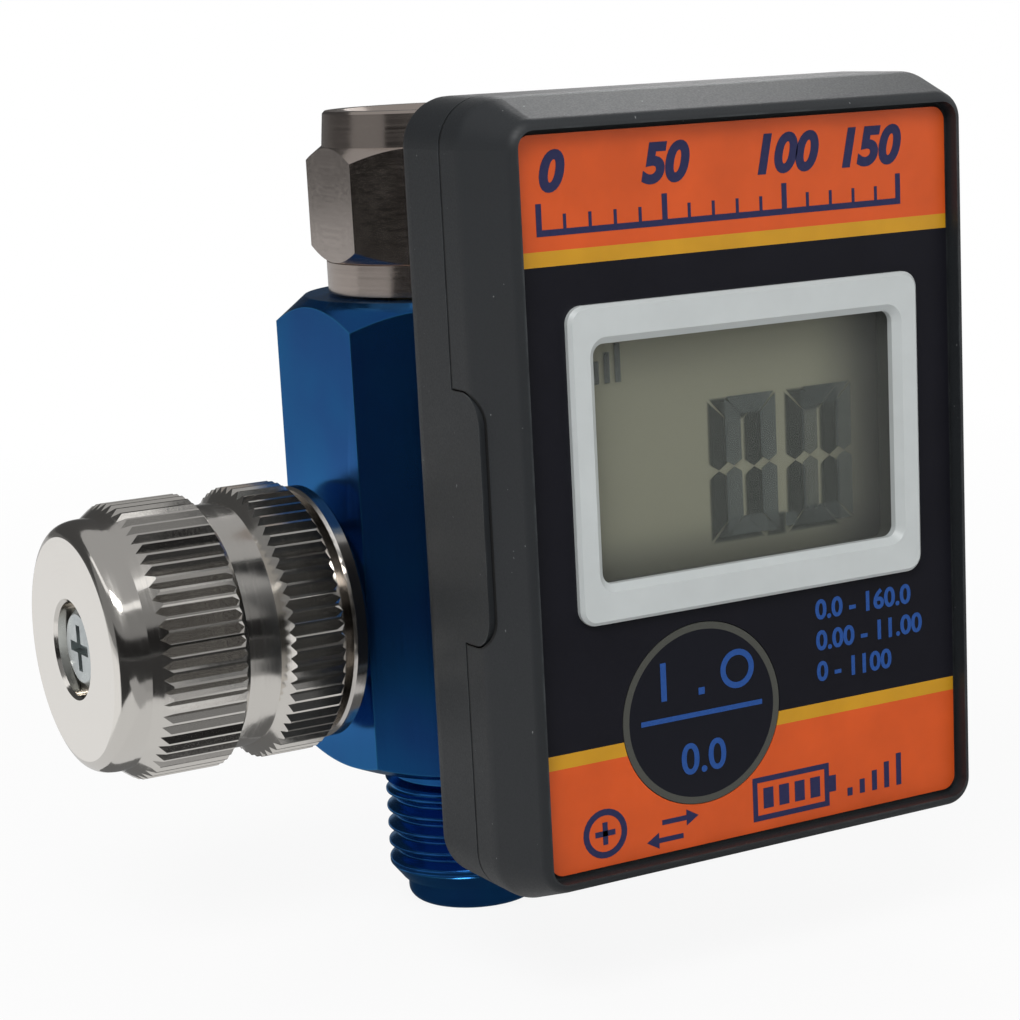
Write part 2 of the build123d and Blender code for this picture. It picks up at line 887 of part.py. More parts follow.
def boss_places():
    across = case_width / 2 - boss_inset_x
    up = case_height / 2 - boss_inset_z
    return [(case_x + i * across, case_z + j * up) for i in (-1, 1) for j in (-1, 1)]


def tongues(gap):
    # Side tongues of the rear shell, as a cutter where the gap is above 0
    profile = RectangleRounded(2 * tongue_reach + 2 * gap, tongue_height + 2 * gap, tongue_corner_radius)
    depth = tongue_thickness + gap
    both = Part()
    for side in (-1, 1):
        outside = case_x + side * case_width / 2
        plane = Plane(
            origin=(outside, -case_parting, case_z - tongue_drop),
            x_dir=(0, 1, 0),
            z_dir=(-side, 0, 0),
        )
        both += extrude(plane * profile, depth)
    front_half = Pos(case_x, -(case_parting + case_front) / 2, case_z) * Box(
        case_width + overrun, case_front - case_parting, case_height
    )
    return both & front_half


inner_width = case_width - 2 * case_wall
inner_height = case_height - 2 * case_wall
inner_corner = case_corner_radius - case_wall
board_back = gauge_stem_end + sensor_height
board_front = board_back + board_thickness
board_width = inner_width - 2 * board_side_gap
board_height = inner_height - 2 * board_end_gap
recess_width = case_width - 2 * recess_side_border
recess_height = case_height - 2 * recess_end_border
front_wall_inner = face_plane - label_thickness - front_wall


def rear_shell():
    shell = rounded_block(case_back, case_parting, case_width, case_height, case_corner_radius)
    shell = fillet(shell.faces().sort_by(Axis.Y)[-1].edges(), case_back_rounding)
    cavity = rounded_block(case_inner_back, case_parting + overrun, inner_width, inner_height, inner_corner)
    shell -= cavity
    lip_outer = rounded_block(
        case_parting - overrun,
        case_parting + lip_height,
        inner_width + 2 * lip_thickness,
        inner_height + 2 * lip_thickness,
        inner_corner + lip_thickness,
    )
    shell += lip_outer - cavity_slug()
    shell += tongues(0)
    for x, z in boss_places():
        shell += tube_y(case_inner_back, board_back, rear_boss_radius, 0, x, z)
    shell &= rounded_block(case_back, case_front, case_width, case_height, case_corner_radius)
    for x, z in boss_places():
        hole = case_screw_radius + case_screw_clearance
        shell -= tube_y(case_back - overrun, board_back + overrun, hole, 0, x, z)
        sink_floor = case_back + case_screw_sink_depth
        shell -= tube_y(case_back - overrun, sink_floor, case_screw_sink_radius, 0, x, z)
    return shell - tube_y(case_back - overrun, case_inner_back + overrun, gauge_neck_radius)


def cavity_slug():
    return rounded_block(case_parting - 2, case_parting + 3, inner_width, inner_height, inner_corner)


def front_blank():
    # Straight sides by the seam, then a slight taper up to the rim
    profile = RectangleRounded(case_width, case_height, case_corner_radius)
    plane = Plane(origin=(case_x, -case_straight_end, case_z), x_dir=(1, 0, 0), z_dir=(0, -1, 0))
    rim = extrude(plane * profile, case_front - case_straight_end, taper=case_taper_angle)
    straight = rounded_block(
        case_parting + case_seam, case_straight_end, case_width, case_height, case_corner_radius
    )
    blank = fillet((straight + rim).edges().filter_by_position(
        Axis.Y, -case_straight_end - 0.01, -case_straight_end + 0.01
    ), case_crease_rounding)
    return fillet(blank.faces().sort_by(Axis.Y)[0].edges(), case_front_rounding)


def front_shell():
    shell = front_blank()
    shell -= rounded_block(
        case_parting - overrun, front_wall_inner, inner_width, inner_height, inner_corner
    )
    shell -= rounded_block(
        case_parting - overrun,
        case_parting + lip_height,
        inner_width + 2 * (lip_thickness + lip_gap),
        inner_height + 2 * (lip_thickness + lip_gap),
        inner_corner + lip_thickness + lip_gap,
    )
    floor = face_plane - label_thickness
    shell -= rounded_block(floor, case_front + overrun, recess_width, recess_height, recess_corner_radius)
    shell -= rounded_block(
        front_wall_inner - overrun,
        face_plane,
        throat_width + 2 * throat_gap,
        throat_height + 2 * throat_gap,
        throat_radius,
        display_x,
        display_z,
    )
    pocket_floor = floor - button_pocket_depth
    pocket_radius = button_radius + button_gap
    shell -= tube_y(pocket_floor, face_plane, pocket_radius, 0, button_x, button_z)
    boss_hole = button_boss_radius + button_boss_gap
    shell -= tube_y(front_wall_inner - overrun, face_plane, boss_hole, 0, button_x, button_z)
    shell -= tongues(tongue_gap)
    for x, z in boss_places():
        shell += tube_y(
            board_front, front_wall_inner, front_boss_radius, case_screw_radius, x, z
        )
    return shell


def case_screws():
    head_start = case_back + case_screw_sink_depth - case_screw_head_height
    head_end = case_back + case_screw_sink_depth
    screws = []
    for x, z in boss_places():
        screw = turned_y(
            [
                (head_start, 0),
                (head_start, case_screw_head_radius),
                (head_end, case_screw_head_radius),
                (head_end, case_screw_radius),
                (head_end + case_screw_length, case_screw_radius),
                (head_end + case_screw_length, 0),
            ],
            x,
            z,
        )
        long, wide, deep = case_screw_slot_length, case_screw_slot_width, case_screw_slot_depth
        slot = Box(long, deep, wide) + Box(wide, deep, long)
        screws.append(screw - Pos(x, -head_start - deep / 2, z) * slot)
    return Compound(children=[s for screw in screws for s in screw.solids()])


# Display
bezel_opening_width = bezel_width - 2 * bezel_side_border
bezel_opening_height = bezel_height - 2 * bezel_end_border
throat_width = bezel_opening_width + 2 * throat_border
throat_height = bezel_opening_height + 2 * throat_border
throat_radius = bezel_opening_radius + throat_corner_extra
window_width = bezel_opening_width + 2 * window_border
window_height = bezel_opening_height + 2 * window_border
window_front = face_plane - window_depth
window_back = window_front - window_thickness
lcd_front = front_wall_inner - lcd_gap
lcd_back = lcd_front - lcd_thickness
reflector_back = lcd_back - reflector_thickness
lcd_width = bezel_opening_width + 2 * lcd_side_border
lcd_height = bezel_opening_height + 2 * lcd_end_border
strip_length = lcd_width - 2 * strip_end_inset


def display_block(start, end, width, height, radius):
    return rounded_block(start, end, width, height, radius, display_x, display_z)


def display_bezel():
    front = face_plane + bezel_proud
    bezel = display_block(face_plane, front, bezel_width, bezel_height, bezel_corner_radius)
    bezel = chamfer(bezel.faces().sort_by(Axis.Y)[0].edges(), bezel_edge)
    bezel += display_block(lcd_front, face_plane, throat_width, throat_height, throat_radius)
    bezel -= display_block(
        window_front - 0.01,
        front + overrun,
        bezel_opening_width,
        bezel_opening_height,
        bezel_opening_radius,
    )
    inner_edges = bezel.faces().sort_by(Axis.Y)[0].inner_wires()[0].edges()
    bezel = chamfer(inner_edges, bezel_bevel)
    bezel -= display_block(
        lcd_front - overrun,
        window_front,
        window_width + 2 * window_gap,
        window_height + 2 * window_gap,
        bezel_opening_radius,
    )
    return bezel


def display_window():
    return display_block(
        window_back, window_front, window_width, window_height, bezel_opening_radius
    )


def lcd_glass():
    return facing(lcd_back, lcd_front, Rectangle(lcd_width, lcd_height), display_x, display_z)


def lcd_reflector():
    profile = Rectangle(lcd_width - 2 * reflector_inset_x, lcd_height - 2 * reflector_inset_z)
    return facing(reflector_back, lcd_back, profile, display_x, display_z)


def lcd_frame():
    inner_w = lcd_width + 2 * lcd_frame_gap
    inner_h = lcd_height + 2 * lcd_frame_gap
    outer = Rectangle(inner_w + 2 * lcd_frame_wall, inner_h + 2 * lcd_frame_wall)
    profile = outer - Rectangle(inner_w, inner_h)
    end = lcd_front - lcd_frame_setback
    return facing(board_front, end, profile, display_x, display_z)


def contact_strip(side):
    z = display_z + side * (lcd_height / 2 - strip_inset - strip_width / 2)
    return facing(board_front, lcd_back, Rectangle(strip_length, strip_width), display_x, z)


def face_label():
    width = recess_width - 2 * label_margin
    height = recess_height - 2 * label_margin
    start = face_plane - label_thickness
    label = rounded_block(start, face_plane, width, height, label_corner_radius)
    label -= display_block(
        start - overrun,
        face_plane + overrun,
        throat_width + 2 * throat_gap,
        throat_height + 2 * throat_gap,
        throat_radius,
    )
    hole = button_radius + button_gap
    return label - tube_y(start - overrun, face_plane + overrun, hole, 0, button_x, button_z)


# Button and switch
switch_front = board_front + switch_height
plunger_front = switch_front + plunger_reach


def zero_button():
    start = face_plane - button_thickness
    button = tube_y(start, face_plane, button_radius, 0, button_x, button_z)
    return button + tube_y(plunger_front, start, button_boss_radius, 0, button_x, button_z)


def tactile_switch():
    square = Rectangle(switch_size, switch_size)
    body = facing(board_front, switch_front, square, button_x, button_z)
    floor = switch_front - plunger_hole_depth
    hole = plunger_radius + plunger_gap
    return body - tube_y(floor, switch_front + overrun, hole, 0, button_x, button_z)


def switch_plunger():
    start = switch_front - plunger_sink
    return tube_y(start, plunger_front, plunger_radius, 0, button_x, button_z)


# Circuit board, sensor and battery
battery_x = case_x + inner_width / 2 - battery_radius - battery_side_gap
battery_z = case_z - inner_height / 2 + battery_radius + battery_end_gap
contact_front = board_back
contact_back = contact_front - contact_thickness
battery_front = contact_back
battery_back = battery_front - battery_thickness


def circuit_board():
    board = rounded_block(
        board_back, board_front, board_width, board_height, board_corner_radius
    )
    for x, z in boss_places():
        hole = case_screw_radius + case_screw_clearance
        board -= tube_y(board_back - overrun, board_front + overrun, hole, 0, x, z)
    return board


def pressure_sensor():
    back = gauge_stem_end
    front = board_back
    sensor = tube_y(back, front, sensor_radius)
    sensor += tube_y(front - sensor_rim_thickness, front, sensor_rim_radius)
    return sensor - tube_y(back - overrun, back + overrun, gauge_stem_bore_radius / 2)


def coin_battery():
    return turned_y(
        [
            (battery_front, 0),
            (battery_front, battery_rim_radius),
            (battery_front - battery_rim_depth, battery_rim_radius),
            (battery_front - battery_rim_depth, battery_radius - battery_chamfer),
            (battery_front - battery_rim_depth - battery_chamfer, battery_radius),
            (battery_back + battery_chamfer, battery_radius),
            (battery_back, battery_radius - battery_chamfer),
            (battery_back, 0),
        ],
        battery_x,
        battery_z,
    )


def battery_contact():
    return tube_y(contact_back, contact_front, contact_radius, 0, battery_x, battery_z)


def battery_clip():
    # Sprung strap over the cell's back, with a foot on the board at each end
    reach = battery_radius + clip_side_gap
    strap_back = battery_back - clip_strap_thickness
    outer = 2 * (reach + clip_strap_thickness)
    strap = Rectangle(clip_strap_width, outer)
    leg = Rectangle(clip_strap_width, clip_strap_thickness)
    foot = Rectangle(clip_strap_width, clip_foot_length)
    clip = facing(strap_back, battery_back, strap, battery_x, battery_z)
    for side in (-1, 1):
        leg_z = battery_z + side * (reach + clip_strap_thickness / 2)
        foot_z = battery_z + side * (reach + clip_foot_length / 2)
        clip += facing(strap_back, board_back, leg, battery_x, leg_z)
        clip += facing(board_back - clip_strap_thickness, board_back, foot, battery_x, foot_z)
    return clip


nodes = {
    "regulator_body": regulator_body,
    "swivel_stem": swivel_stem,
    "stem_o_ring": stem_o_ring,
    "swivel_washer": swivel_washer,
    "swivel_nut": swivel_nut,
    "bonnet": bonnet,
    "bonnet_gasket": bonnet_gasket,
    "bonnet_cap": bonnet_cap,
    "thrust_washer": thrust_washer,
    "adjusting_spindle": adjusting_spindle,
    "spindle_clip": spindle_clip,
    "adjusting_nut": adjusting_nut,
    "knob": knob,
    "knob_screw": knob_screw,
    "main_spring": main_spring,
    "piston": piston,
    "piston_o_ring": piston_o_ring,
    "valve_seat": valve_seat,
    "seat_o_ring": seat_o_ring,
    "seat_spacer": seat_spacer,
    "poppet": poppet,
    "valve_pad": valve_pad,
    "poppet_spring": poppet_spring,
    "gauge_stem": gauge_stem,
    "gauge_seal": gauge_seal,
    "stem_nut": stem_nut,
    "pressure_sensor": pressure_sensor,
    "rear_shell": rear_shell,
    "front_shell": front_shell,
    "case_screws": case_screws,
    "face_label": face_label,
    "display_bezel": display_bezel,
    "display_window": display_window,
    "lcd_glass": lcd_glass,
    "lcd_reflector": lcd_reflector,
    "lcd_frame": lcd_frame,
    "contact_strip_upper": lambda: contact_strip(1),
    "contact_strip_lower": lambda: contact_strip(-1),
    "circuit_board": circuit_board,
    "tactile_switch": tactile_switch,
    "switch_plunger": switch_plunger,
    "zero_button": zero_button,
    "battery_contact": battery_contact,
    "coin_battery": coin_battery,
    "battery_clip": battery_clip,
}

os.makedirs("parts", exist_ok=True)
for name, make in nodes.items():
    export_step(make(), f"parts/{name}.step")
    print(name)
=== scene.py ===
import math

import bmesh
import bpy
from mathutils import Matrix, Vector


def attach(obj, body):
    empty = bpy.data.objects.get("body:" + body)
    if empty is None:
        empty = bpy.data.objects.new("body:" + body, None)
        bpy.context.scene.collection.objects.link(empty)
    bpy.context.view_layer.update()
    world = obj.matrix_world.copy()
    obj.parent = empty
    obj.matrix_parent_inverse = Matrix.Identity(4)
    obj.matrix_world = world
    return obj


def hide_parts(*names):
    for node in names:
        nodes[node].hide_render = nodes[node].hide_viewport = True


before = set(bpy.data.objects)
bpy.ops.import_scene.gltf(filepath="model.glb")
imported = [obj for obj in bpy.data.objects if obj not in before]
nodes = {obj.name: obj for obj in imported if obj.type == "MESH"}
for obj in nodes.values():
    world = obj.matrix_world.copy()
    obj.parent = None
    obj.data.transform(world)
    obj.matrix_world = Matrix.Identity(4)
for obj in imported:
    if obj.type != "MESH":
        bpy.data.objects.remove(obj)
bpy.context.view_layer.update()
mm = 0.001
print("stage: frame loaded")


# shader helpers

def add(tree, kind, **settings):
    node = tree.nodes.new(kind)
    for key, value in settings.items():
        setattr(node, key, value)
    return node


def plug(tree, source, target):
    tree.links.new(source, target)


def emptyTree(owner, outputKind):
    owner.use_nodes = True
    tree = owner.node_tree
    tree.nodes.clear()
    return tree, add(tree, outputKind).inputs["Surface"]


def newMaterial(name):
    mat = bpy.data.materials.new(name)
    tree, surface = emptyTree(mat, "ShaderNodeOutputMaterial")
    bsdf = add(tree, "ShaderNodeBsdfPrincipled")
    plug(tree, bsdf.outputs["BSDF"], surface)
    return mat, tree, bsdf


def objectCoords(tree):
    return add(tree, "ShaderNodeTexCoord").outputs["Object"]


def splitCoords(tree):
    sep = add(tree, "ShaderNodeSeparateXYZ")
    plug(tree, objectCoords(tree), sep.inputs[0])
    return sep.outputs


def maths(tree, operation, a, b=None):
    node = add(tree, "ShaderNodeMath", operation=operation)
    for socket, value in zip(node.inputs, (a, b)):
        if isinstance(value, (int, float)):
            socket.default_value = value
        elif value is not None:
            plug(tree, value, socket)
    return node.outputs[0]


def hypotenuse(tree, a, b):
    squares = [maths(tree, "MULTIPLY", side, side) for side in (a, b)]
    return maths(tree, "SQRT", maths(tree, "ADD", *squares))


def noise(tree, scale, detail=3.0, rough=0.55, stretch=(1, 1, 1)):
    # scale is in features per millimetre
    mapping = add(tree, "ShaderNodeMapping")
    mapping.inputs["Scale"].default_value = [s / mm for s in stretch]
    tex = add(tree, "ShaderNodeTexNoise")
    tex.inputs["Scale"].default_value = scale
    tex.inputs["Detail"].default_value = detail
    tex.inputs["Roughness"].default_value = rough
    plug(tree, objectCoords(tree), mapping.inputs["Vector"])
    plug(tree, mapping.outputs["Vector"], tex.inputs["Vector"])
    return tex.outputs["Fac"]


def remap(tree, value, low, high, outLow, outHigh, kind="LINEAR"):
    node = add(tree, "ShaderNodeMapRange", interpolation_type=kind)
    for socket, number in zip(node.inputs[1:5], (low, high, outLow, outHigh)):
        socket.default_value = number
    plug(tree, value, node.inputs[0])
    return node.outputs[0]


def smoothStep(tree, value, low, high):
    return remap(tree, value, low, high, 0.0, 1.0, "SMOOTHSTEP")


def mixColour(tree, factor, a, b):
    node = add(tree, "ShaderNodeMix", data_type="RGBA")
    plug(tree, factor, node.inputs["Factor"])
    # sockets 6 and 7 are the two colours
    for socket, value in zip(node.inputs[6:8], (a, b)):
        if isinstance(value, tuple):
            socket.default_value = (*value, 1)
        else:
            plug(tree, value, socket)
    return node.outputs[2]


def bump(tree, bsdf, height, distance, strength):
    node = add(tree, "ShaderNodeBump")
    node.inputs["Strength"].default_value = strength
    node.inputs["Distance"].default_value = distance * mm
    plug(tree, height, node.inputs["Height"])
    plug(tree, node.outputs["Normal"], bsdf.inputs["Normal"])


def edgeMask(tree, radius):
    # 1 along edges, 0 on flats: there the rounded normal agrees with the plain one
    flat, edge = 0.995, 0.9
    geometry = add(tree, "ShaderNodeNewGeometry")
    bevel = add(tree, "ShaderNodeBevel", samples=4)
    bevel.inputs["Radius"].default_value = radius * mm
    dot = add(tree, "ShaderNodeVectorMath", operation="DOT_PRODUCT")
    plug(tree, bevel.outputs["Normal"], dot.inputs[0])
    plug(tree, geometry.outputs["Normal"], dot.inputs[1])
    return remap(tree, dot.outputs["Value"], flat, edge, 0.0, 1.0)


def linear(*rgb):
    # sRGB values of 0 to 255 as the linear values that shaders take
    values = [c / 255 for c in rgb]
    return tuple(c / 12.92 if c <= 0.04045 else ((c + 0.055) / 1.055) ** 2.4 for c in values)


def setBase(bsdf, colour, roughness, metallic=0.0, specular=0.5, alpha=1.0):
    bsdf.inputs["Base Color"].default_value = (*colour, 1)
    bsdf.inputs["Roughness"].default_value = roughness
    bsdf.inputs["Metallic"].default_value = metallic
    bsdf.inputs["Specular IOR Level"].default_value = specular
    bsdf.inputs["Alpha"].default_value = alpha


# materials
# In the looks, lengths are in millimetres, spans are the parts of a noise that are used,
# and grain is a noise's scale, detail, roughness and stretch.

noiseSpan = (0.3, 0.7)


def grainSurface(tree, bsdf, look):
    # One fine noise varies the roughness and the height
    fine = noise(tree, *look["grain"])
    plug(tree, remap(tree, fine, *noiseSpan, *look["roughness"]), bsdf.inputs["Roughness"])
    bump(tree, bsdf, fine, look["depth"], look["bump"])


def patchyRoughness(tree, bsdf, fine, patch, roughness, look):
    rough = maths(
        tree,
        "ADD",
        remap(tree, fine, *look["fineSpan"], *roughness),
        remap(tree, patch, *look["patchSpan"], 0.0, look["patchRoughness"]),
    )
    plug(tree, rough, bsdf.inputs["Roughness"])


def anodisedBlue():
    look = {
        "colour": (0.014, 0.11, 0.33),
        "deep": (0.018, 0.055, 0.26),
        "deepShare": 0.6,
        "cloud": 0.12,
        "cloudSpan": (0.35, 0.7),
        "pale": (0.05, 0.3, 0.52),
        "paleShare": 0.55,
        "edgeRadius": 0.18,
        "edgeTint": (0.55, 0.8, 1.0),
        "metallic": 0.92,
        "roughness": (0.15, 0.23),
        "grain": (6.0, 2.0, 0.55, (1, 1, 0.02)),
        "depth": 0.002,
        "bump": 0.35,
    }
    mat, tree, bsdf = newMaterial("anodisedBlue")
    setBase(bsdf, look["colour"], look["roughness"][0], look["metallic"])
    bsdf.inputs["Specular Tint"].default_value = (*look["edgeTint"], 1)
    cloud = noise(tree, look["cloud"], 2.0)
    cloud = remap(tree, cloud, *look["cloudSpan"], 0.0, look["deepShare"])
    tint = mixColour(tree, cloud, look["colour"], look["deep"])
    # paler blue along every edge
    paleEdges = maths(tree, "MULTIPLY", edgeMask(tree, look["edgeRadius"]), look["paleShare"])
    plug(tree, mixColour(tree, paleEdges, tint, look["pale"]), bsdf.inputs["Base Color"])
    grainSurface(tree, bsdf, look)
    return mat


def brightMetal(name, colour, roughness, grain, depth=0.0015, tarnish=None):
    look = {
        "patch": 0.25,
        "fineSpan": (0.3, 0.75),
        "patchSpan": (0.45, 0.75),
        "patchRoughness": 0.05,
        "tarnishSpan": (0.4, 0.75),
        "tarnishShare": 0.7,
        "bump": 0.4,
    }
    mat, tree, bsdf = newMaterial(name)
    setBase(bsdf, colour, roughness[0], 1.0)
    fine = noise(tree, grain)
    patch = noise(tree, look["patch"])
    patchyRoughness(tree, bsdf, fine, patch, roughness, look)
    if tarnish:
        share = remap(tree, patch, *look["tarnishSpan"], 0.0, look["tarnishShare"])
        plug(tree, mixColour(tree, share, colour, tarnish), bsdf.inputs["Base Color"])
    bump(tree, bsdf, fine, depth, look["bump"])
    return mat


def turnedMetal(name, colour, roughness, axis, centre, rings, depth=0.002):
    # Fine tool marks in rings about an axis, rings of them to the millimetre
    look = {
        "patch": 0.3,
        "fineSpan": noiseSpan,
        "patchSpan": (0.45, 0.8),
        "patchRoughness": 0.06,
        "detail": 2.0,
        "bump": 0.5,
    }
    mat, tree, bsdf = newMaterial(name)
    setBase(bsdf, colour, roughness[0], 1.0)
    sep = splitCoords(tree)
    offsets = [
        maths(tree, "SUBTRACT", sep[i], centre[i] * mm) for i in range(3) if i != axis
    ]
    combine = add(tree, "ShaderNodeCombineXYZ")
    for socket, value in zip(combine.inputs, (hypotenuse(tree, *offsets), sep[axis])):
        plug(tree, maths(tree, "MULTIPLY", value, rings / mm), socket)
    tex = add(tree, "ShaderNodeTexNoise")
    tex.inputs["Scale"].default_value = 1.0
    tex.inputs["Detail"].default_value = look["detail"]
    plug(tree, combine.outputs[0], tex.inputs["Vector"])
    marks = tex.outputs["Fac"]
    patchyRoughness(tree, bsdf, marks, noise(tree, look["patch"]), roughness, look)
    bump(tree, bsdf, marks, depth, look["bump"])
    return mat


def mouldedPlastic(name, colour, roughness, grain=5.0, depth=0.012, spread=0.12, specular=0.4):
    look = {
        "cloud": 0.15,
        "roughness": (roughness - 0.08, roughness + 0.08),
        "grain": (grain, 4.0, 0.6),
        "depth": depth,
        "bump": 0.5,
    }
    mat, tree, bsdf = newMaterial(name)
    setBase(bsdf, colour, roughness, specular=specular)
    dark = tuple(c * (1 - spread) for c in colour)
    light = tuple(c * (1 + spread) for c in colour)
    tint = mixColour(tree, noise(tree, look["cloud"]), dark, light)
    plug(tree, tint, bsdf.inputs["Base Color"])
    grainSurface(tree, bsdf, look)
    return mat


# Joint between the two shells: its plane, and the tongue that the rear shell has on each
# side. The line is fully dark over the share "solid" of its half width.
shellJoint = {
    "y": max(v.co.y for v in nodes["front_shell"].data.vertices) / mm,
    "z": 25.15,
    "half": (3.65, 8.7),
    "corner": 2.2,
    "solid": 0.6,
}


def shellSeam(tree, width):
    # 1 on the joint's line and round the tongue's front half, 0 elsewhere
    joint = shellJoint
    sep = splitCoords(tree)
    y = maths(tree, "SUBTRACT", sep[1], joint["y"] * mm)
    z = maths(tree, "SUBTRACT", sep[2], joint["z"] * mm)
    beyond = []
    for offset, half in zip((y, z), joint["half"]):
        edge = (half - joint["corner"]) * mm
        beyond.append(maths(tree, "SUBTRACT", maths(tree, "ABSOLUTE", offset), edge))
    corner = hypotenuse(tree, *(maths(tree, "MAXIMUM", value, 0.0) for value in beyond))
    flat = maths(tree, "MINIMUM", maths(tree, "MAXIMUM", *beyond), 0.0)
    gap = maths(tree, "SUBTRACT", maths(tree, "ADD", corner, flat), joint["corner"] * mm)

    def dark(offset):
        offset = maths(tree, "ABSOLUTE", offset)
        return smoothStep(tree, offset, width * mm, joint["solid"] * width * mm)

    tongue = maths(tree, "MULTIPLY", dark(gap), maths(tree, "LESS_THAN", y, 0.0))
    line = maths(tree, "MULTIPLY", dark(y), maths(tree, "GREATER_THAN", gap, 0.0))
    return maths(tree, "MAXIMUM", tongue, line)


def caseGrey():
    look = {
        "colour": linear(39, 42, 45),
        "darkShare": 0.86,
        "cloud": 0.09,
        "edge": linear(72, 77, 79),
        "edgeRadius": 0.25,
        "rub": 0.5,
        "rubSpan": (0.4, 0.65),
        "rubShare": (0.1, 0.6),
        "specks": linear(165, 168, 168),
        "speckGrain": (2.2, 1.0, 0.4),
        "speckSpan": (0.79, 0.83),
        "speckShare": 0.5,
        "seamDark": linear(9, 10, 11),
        "seamWidth": 0.15,
        "specular": 0.42,
        "roughness": (0.44, 0.6),
        "grain": (7.0, 4.0, 0.6),
        "depth": 0.01,
        "bump": 0.6,
    }
    mat, tree, bsdf = newMaterial("caseGrey")
    setBase(bsdf, look["colour"], look["roughness"][0], specular=look["specular"])
    dark = tuple(c * look["darkShare"] for c in look["colour"])
    tint = mixColour(tree, noise(tree, look["cloud"]), dark, look["colour"])
    rub = remap(tree, noise(tree, look["rub"]), *look["rubSpan"], *look["rubShare"])
    rub = maths(tree, "MULTIPLY", edgeMask(tree, look["edgeRadius"]), rub)
    tint = mixColour(tree, rub, tint, look["edge"])
    specks = noise(tree, *look["speckGrain"])
    specks = remap(tree, specks, *look["speckSpan"], 0.0, look["speckShare"])
    tint = mixColour(tree, specks, tint, look["specks"])
    tint = mixColour(tree, shellSeam(tree, look["seamWidth"]), tint, look["seamDark"])
    plug(tree, tint, bsdf.inputs["Base Color"])
    grainSurface(tree, bsdf, look)
    return mat


def printedLabel():
    # The stripes lie at the same heights above and below the centre
    look = {
        "orange": linear(212, 84, 26),
        "yellow": linear(200, 146, 24),
        "black": linear(24, 24, 32),
        "centre": 25.6,
        "stripe": (16.37, 17.37),
        "mottle": 0.2,
        "mottleShare": 0.16,
        "specular": 0.4,
        "roughness": (0.28, 0.42),
        "grain": (4.0, 3.0),
        "depth": 0.003,
        "bump": 0.4,
    }
    mat, tree, bsdf = newMaterial("printedLabel")
    setBase(bsdf, look["black"], look["roughness"][0], specular=look["specular"])
    height = maths(tree, "SUBTRACT", splitCoords(tree)[2], look["centre"] * mm)
    height = maths(tree, "ABSOLUTE", height)
    tint = look["black"]
    for edge, colour in zip(look["stripe"], ("yellow", "orange")):
        beyond = maths(tree, "GREATER_THAN", height, edge * mm)
        tint = mixColour(tree, beyond, tint, look[colour])
    mottle = remap(tree, noise(tree, look["mottle"]), *noiseSpan, 0.0, look["mottleShare"])
    plug(tree, mixColour(tree, mottle, tint, (0, 0, 0)), bsdf.inputs["Base Color"])
    grainSurface(tree, bsdf, look)
    return mat


def bezelWhite():
    # Behind the plane y = insideFrom the frame has painted shade: the opening's inner wall is
    # painted dark, as it lies in shade
    look = {
        "face": linear(191, 196, 196),
        "second": linear(172, 177, 177),
        "paintedShade": linear(62, 64, 59),
        "insideFrom": -29.55,
        "mottle": 0.3,
        "mottleShare": 0.3,
        "specular": 0.45,
        "roughness": (0.3, 0.42),
        "grain": (6.0, 3.0),
        "depth": 0.004,
        "bump": 0.4,
    }
    mat, tree, bsdf = newMaterial("bezelWhite")
    setBase(bsdf, look["face"], look["roughness"][0], specular=look["specular"])
    # painted shade on the opening's inner wall, behind the plane
    paintedShade = maths(tree, "GREATER_THAN", splitCoords(tree)[1], look["insideFrom"] * mm)
    mottle = remap(tree, noise(tree, look["mottle"]), *noiseSpan, 0.0, look["mottleShare"])
    tint = mixColour(tree, mottle, look["face"], look["second"])
    plug(tree, mixColour(tree, paintedShade, tint, look["paintedShade"]), bsdf.inputs["Base Color"])
    grainSurface(tree, bsdf, look)
    return mat


def clearWindow():
    look = {
        "colour": (0.32, 0.33, 0.32),
        "alpha": 0.07,
        "roughness": (0.02, 0.06),
        "smear": 0.4,
        "smearSpan": (0.4, 0.7),
    }
    mat, tree, bsdf = newMaterial("clearWindow")
    setBase(bsdf, look["colour"], look["roughness"][0], alpha=look["alpha"])
    smear = noise(tree, look["smear"])
    smear = remap(tree, smear, *look["smearSpan"], *look["roughness"])
    plug(tree, smear, bsdf.inputs["Roughness"])
    return mat


def liquidCrystal():
    # The frame's shadow is painted on the right side, between two x, and on the foot, between two
    # z
    look = {
        "olive": linear(122, 123, 104),
        "second": linear(112, 112, 94),
        "secondShare": 0.1,
        "mottle": (3.0, 2.0),
        "side": linear(45, 47, 46),
        "sideFade": (13.2, 20.4),
        "sideShare": 0.92,
        "foot": linear(74, 75, 65),
        "footFade": (24.0, 20.2),
        "footShare": 0.8,
        "specular": 0.25,
        "roughness": 0.5,
    }
    mat, tree, bsdf = newMaterial("liquidCrystal")
    setBase(bsdf, look["olive"], look["roughness"], specular=look["specular"])
    sep = splitCoords(tree)
    mottle = noise(tree, *look["mottle"])
    mottle = remap(tree, mottle, *noiseSpan, 0.0, look["secondShare"])
    tint = mixColour(tree, mottle, look["olive"], look["second"])
    # painted shadow of the frame on the foot and on the right side
    for part, coord in (("foot", sep[2]), ("side", sep[0])):
        shade = smoothStep(tree, coord, *(edge * mm for edge in look[part + "Fade"]))
        shade = maths(tree, "MULTIPLY", shade, look[part + "Share"])
        tint = mixColour(tree, shade, tint, look[part])
    plug(tree, tint, bsdf.inputs["Base Color"])
    return mat


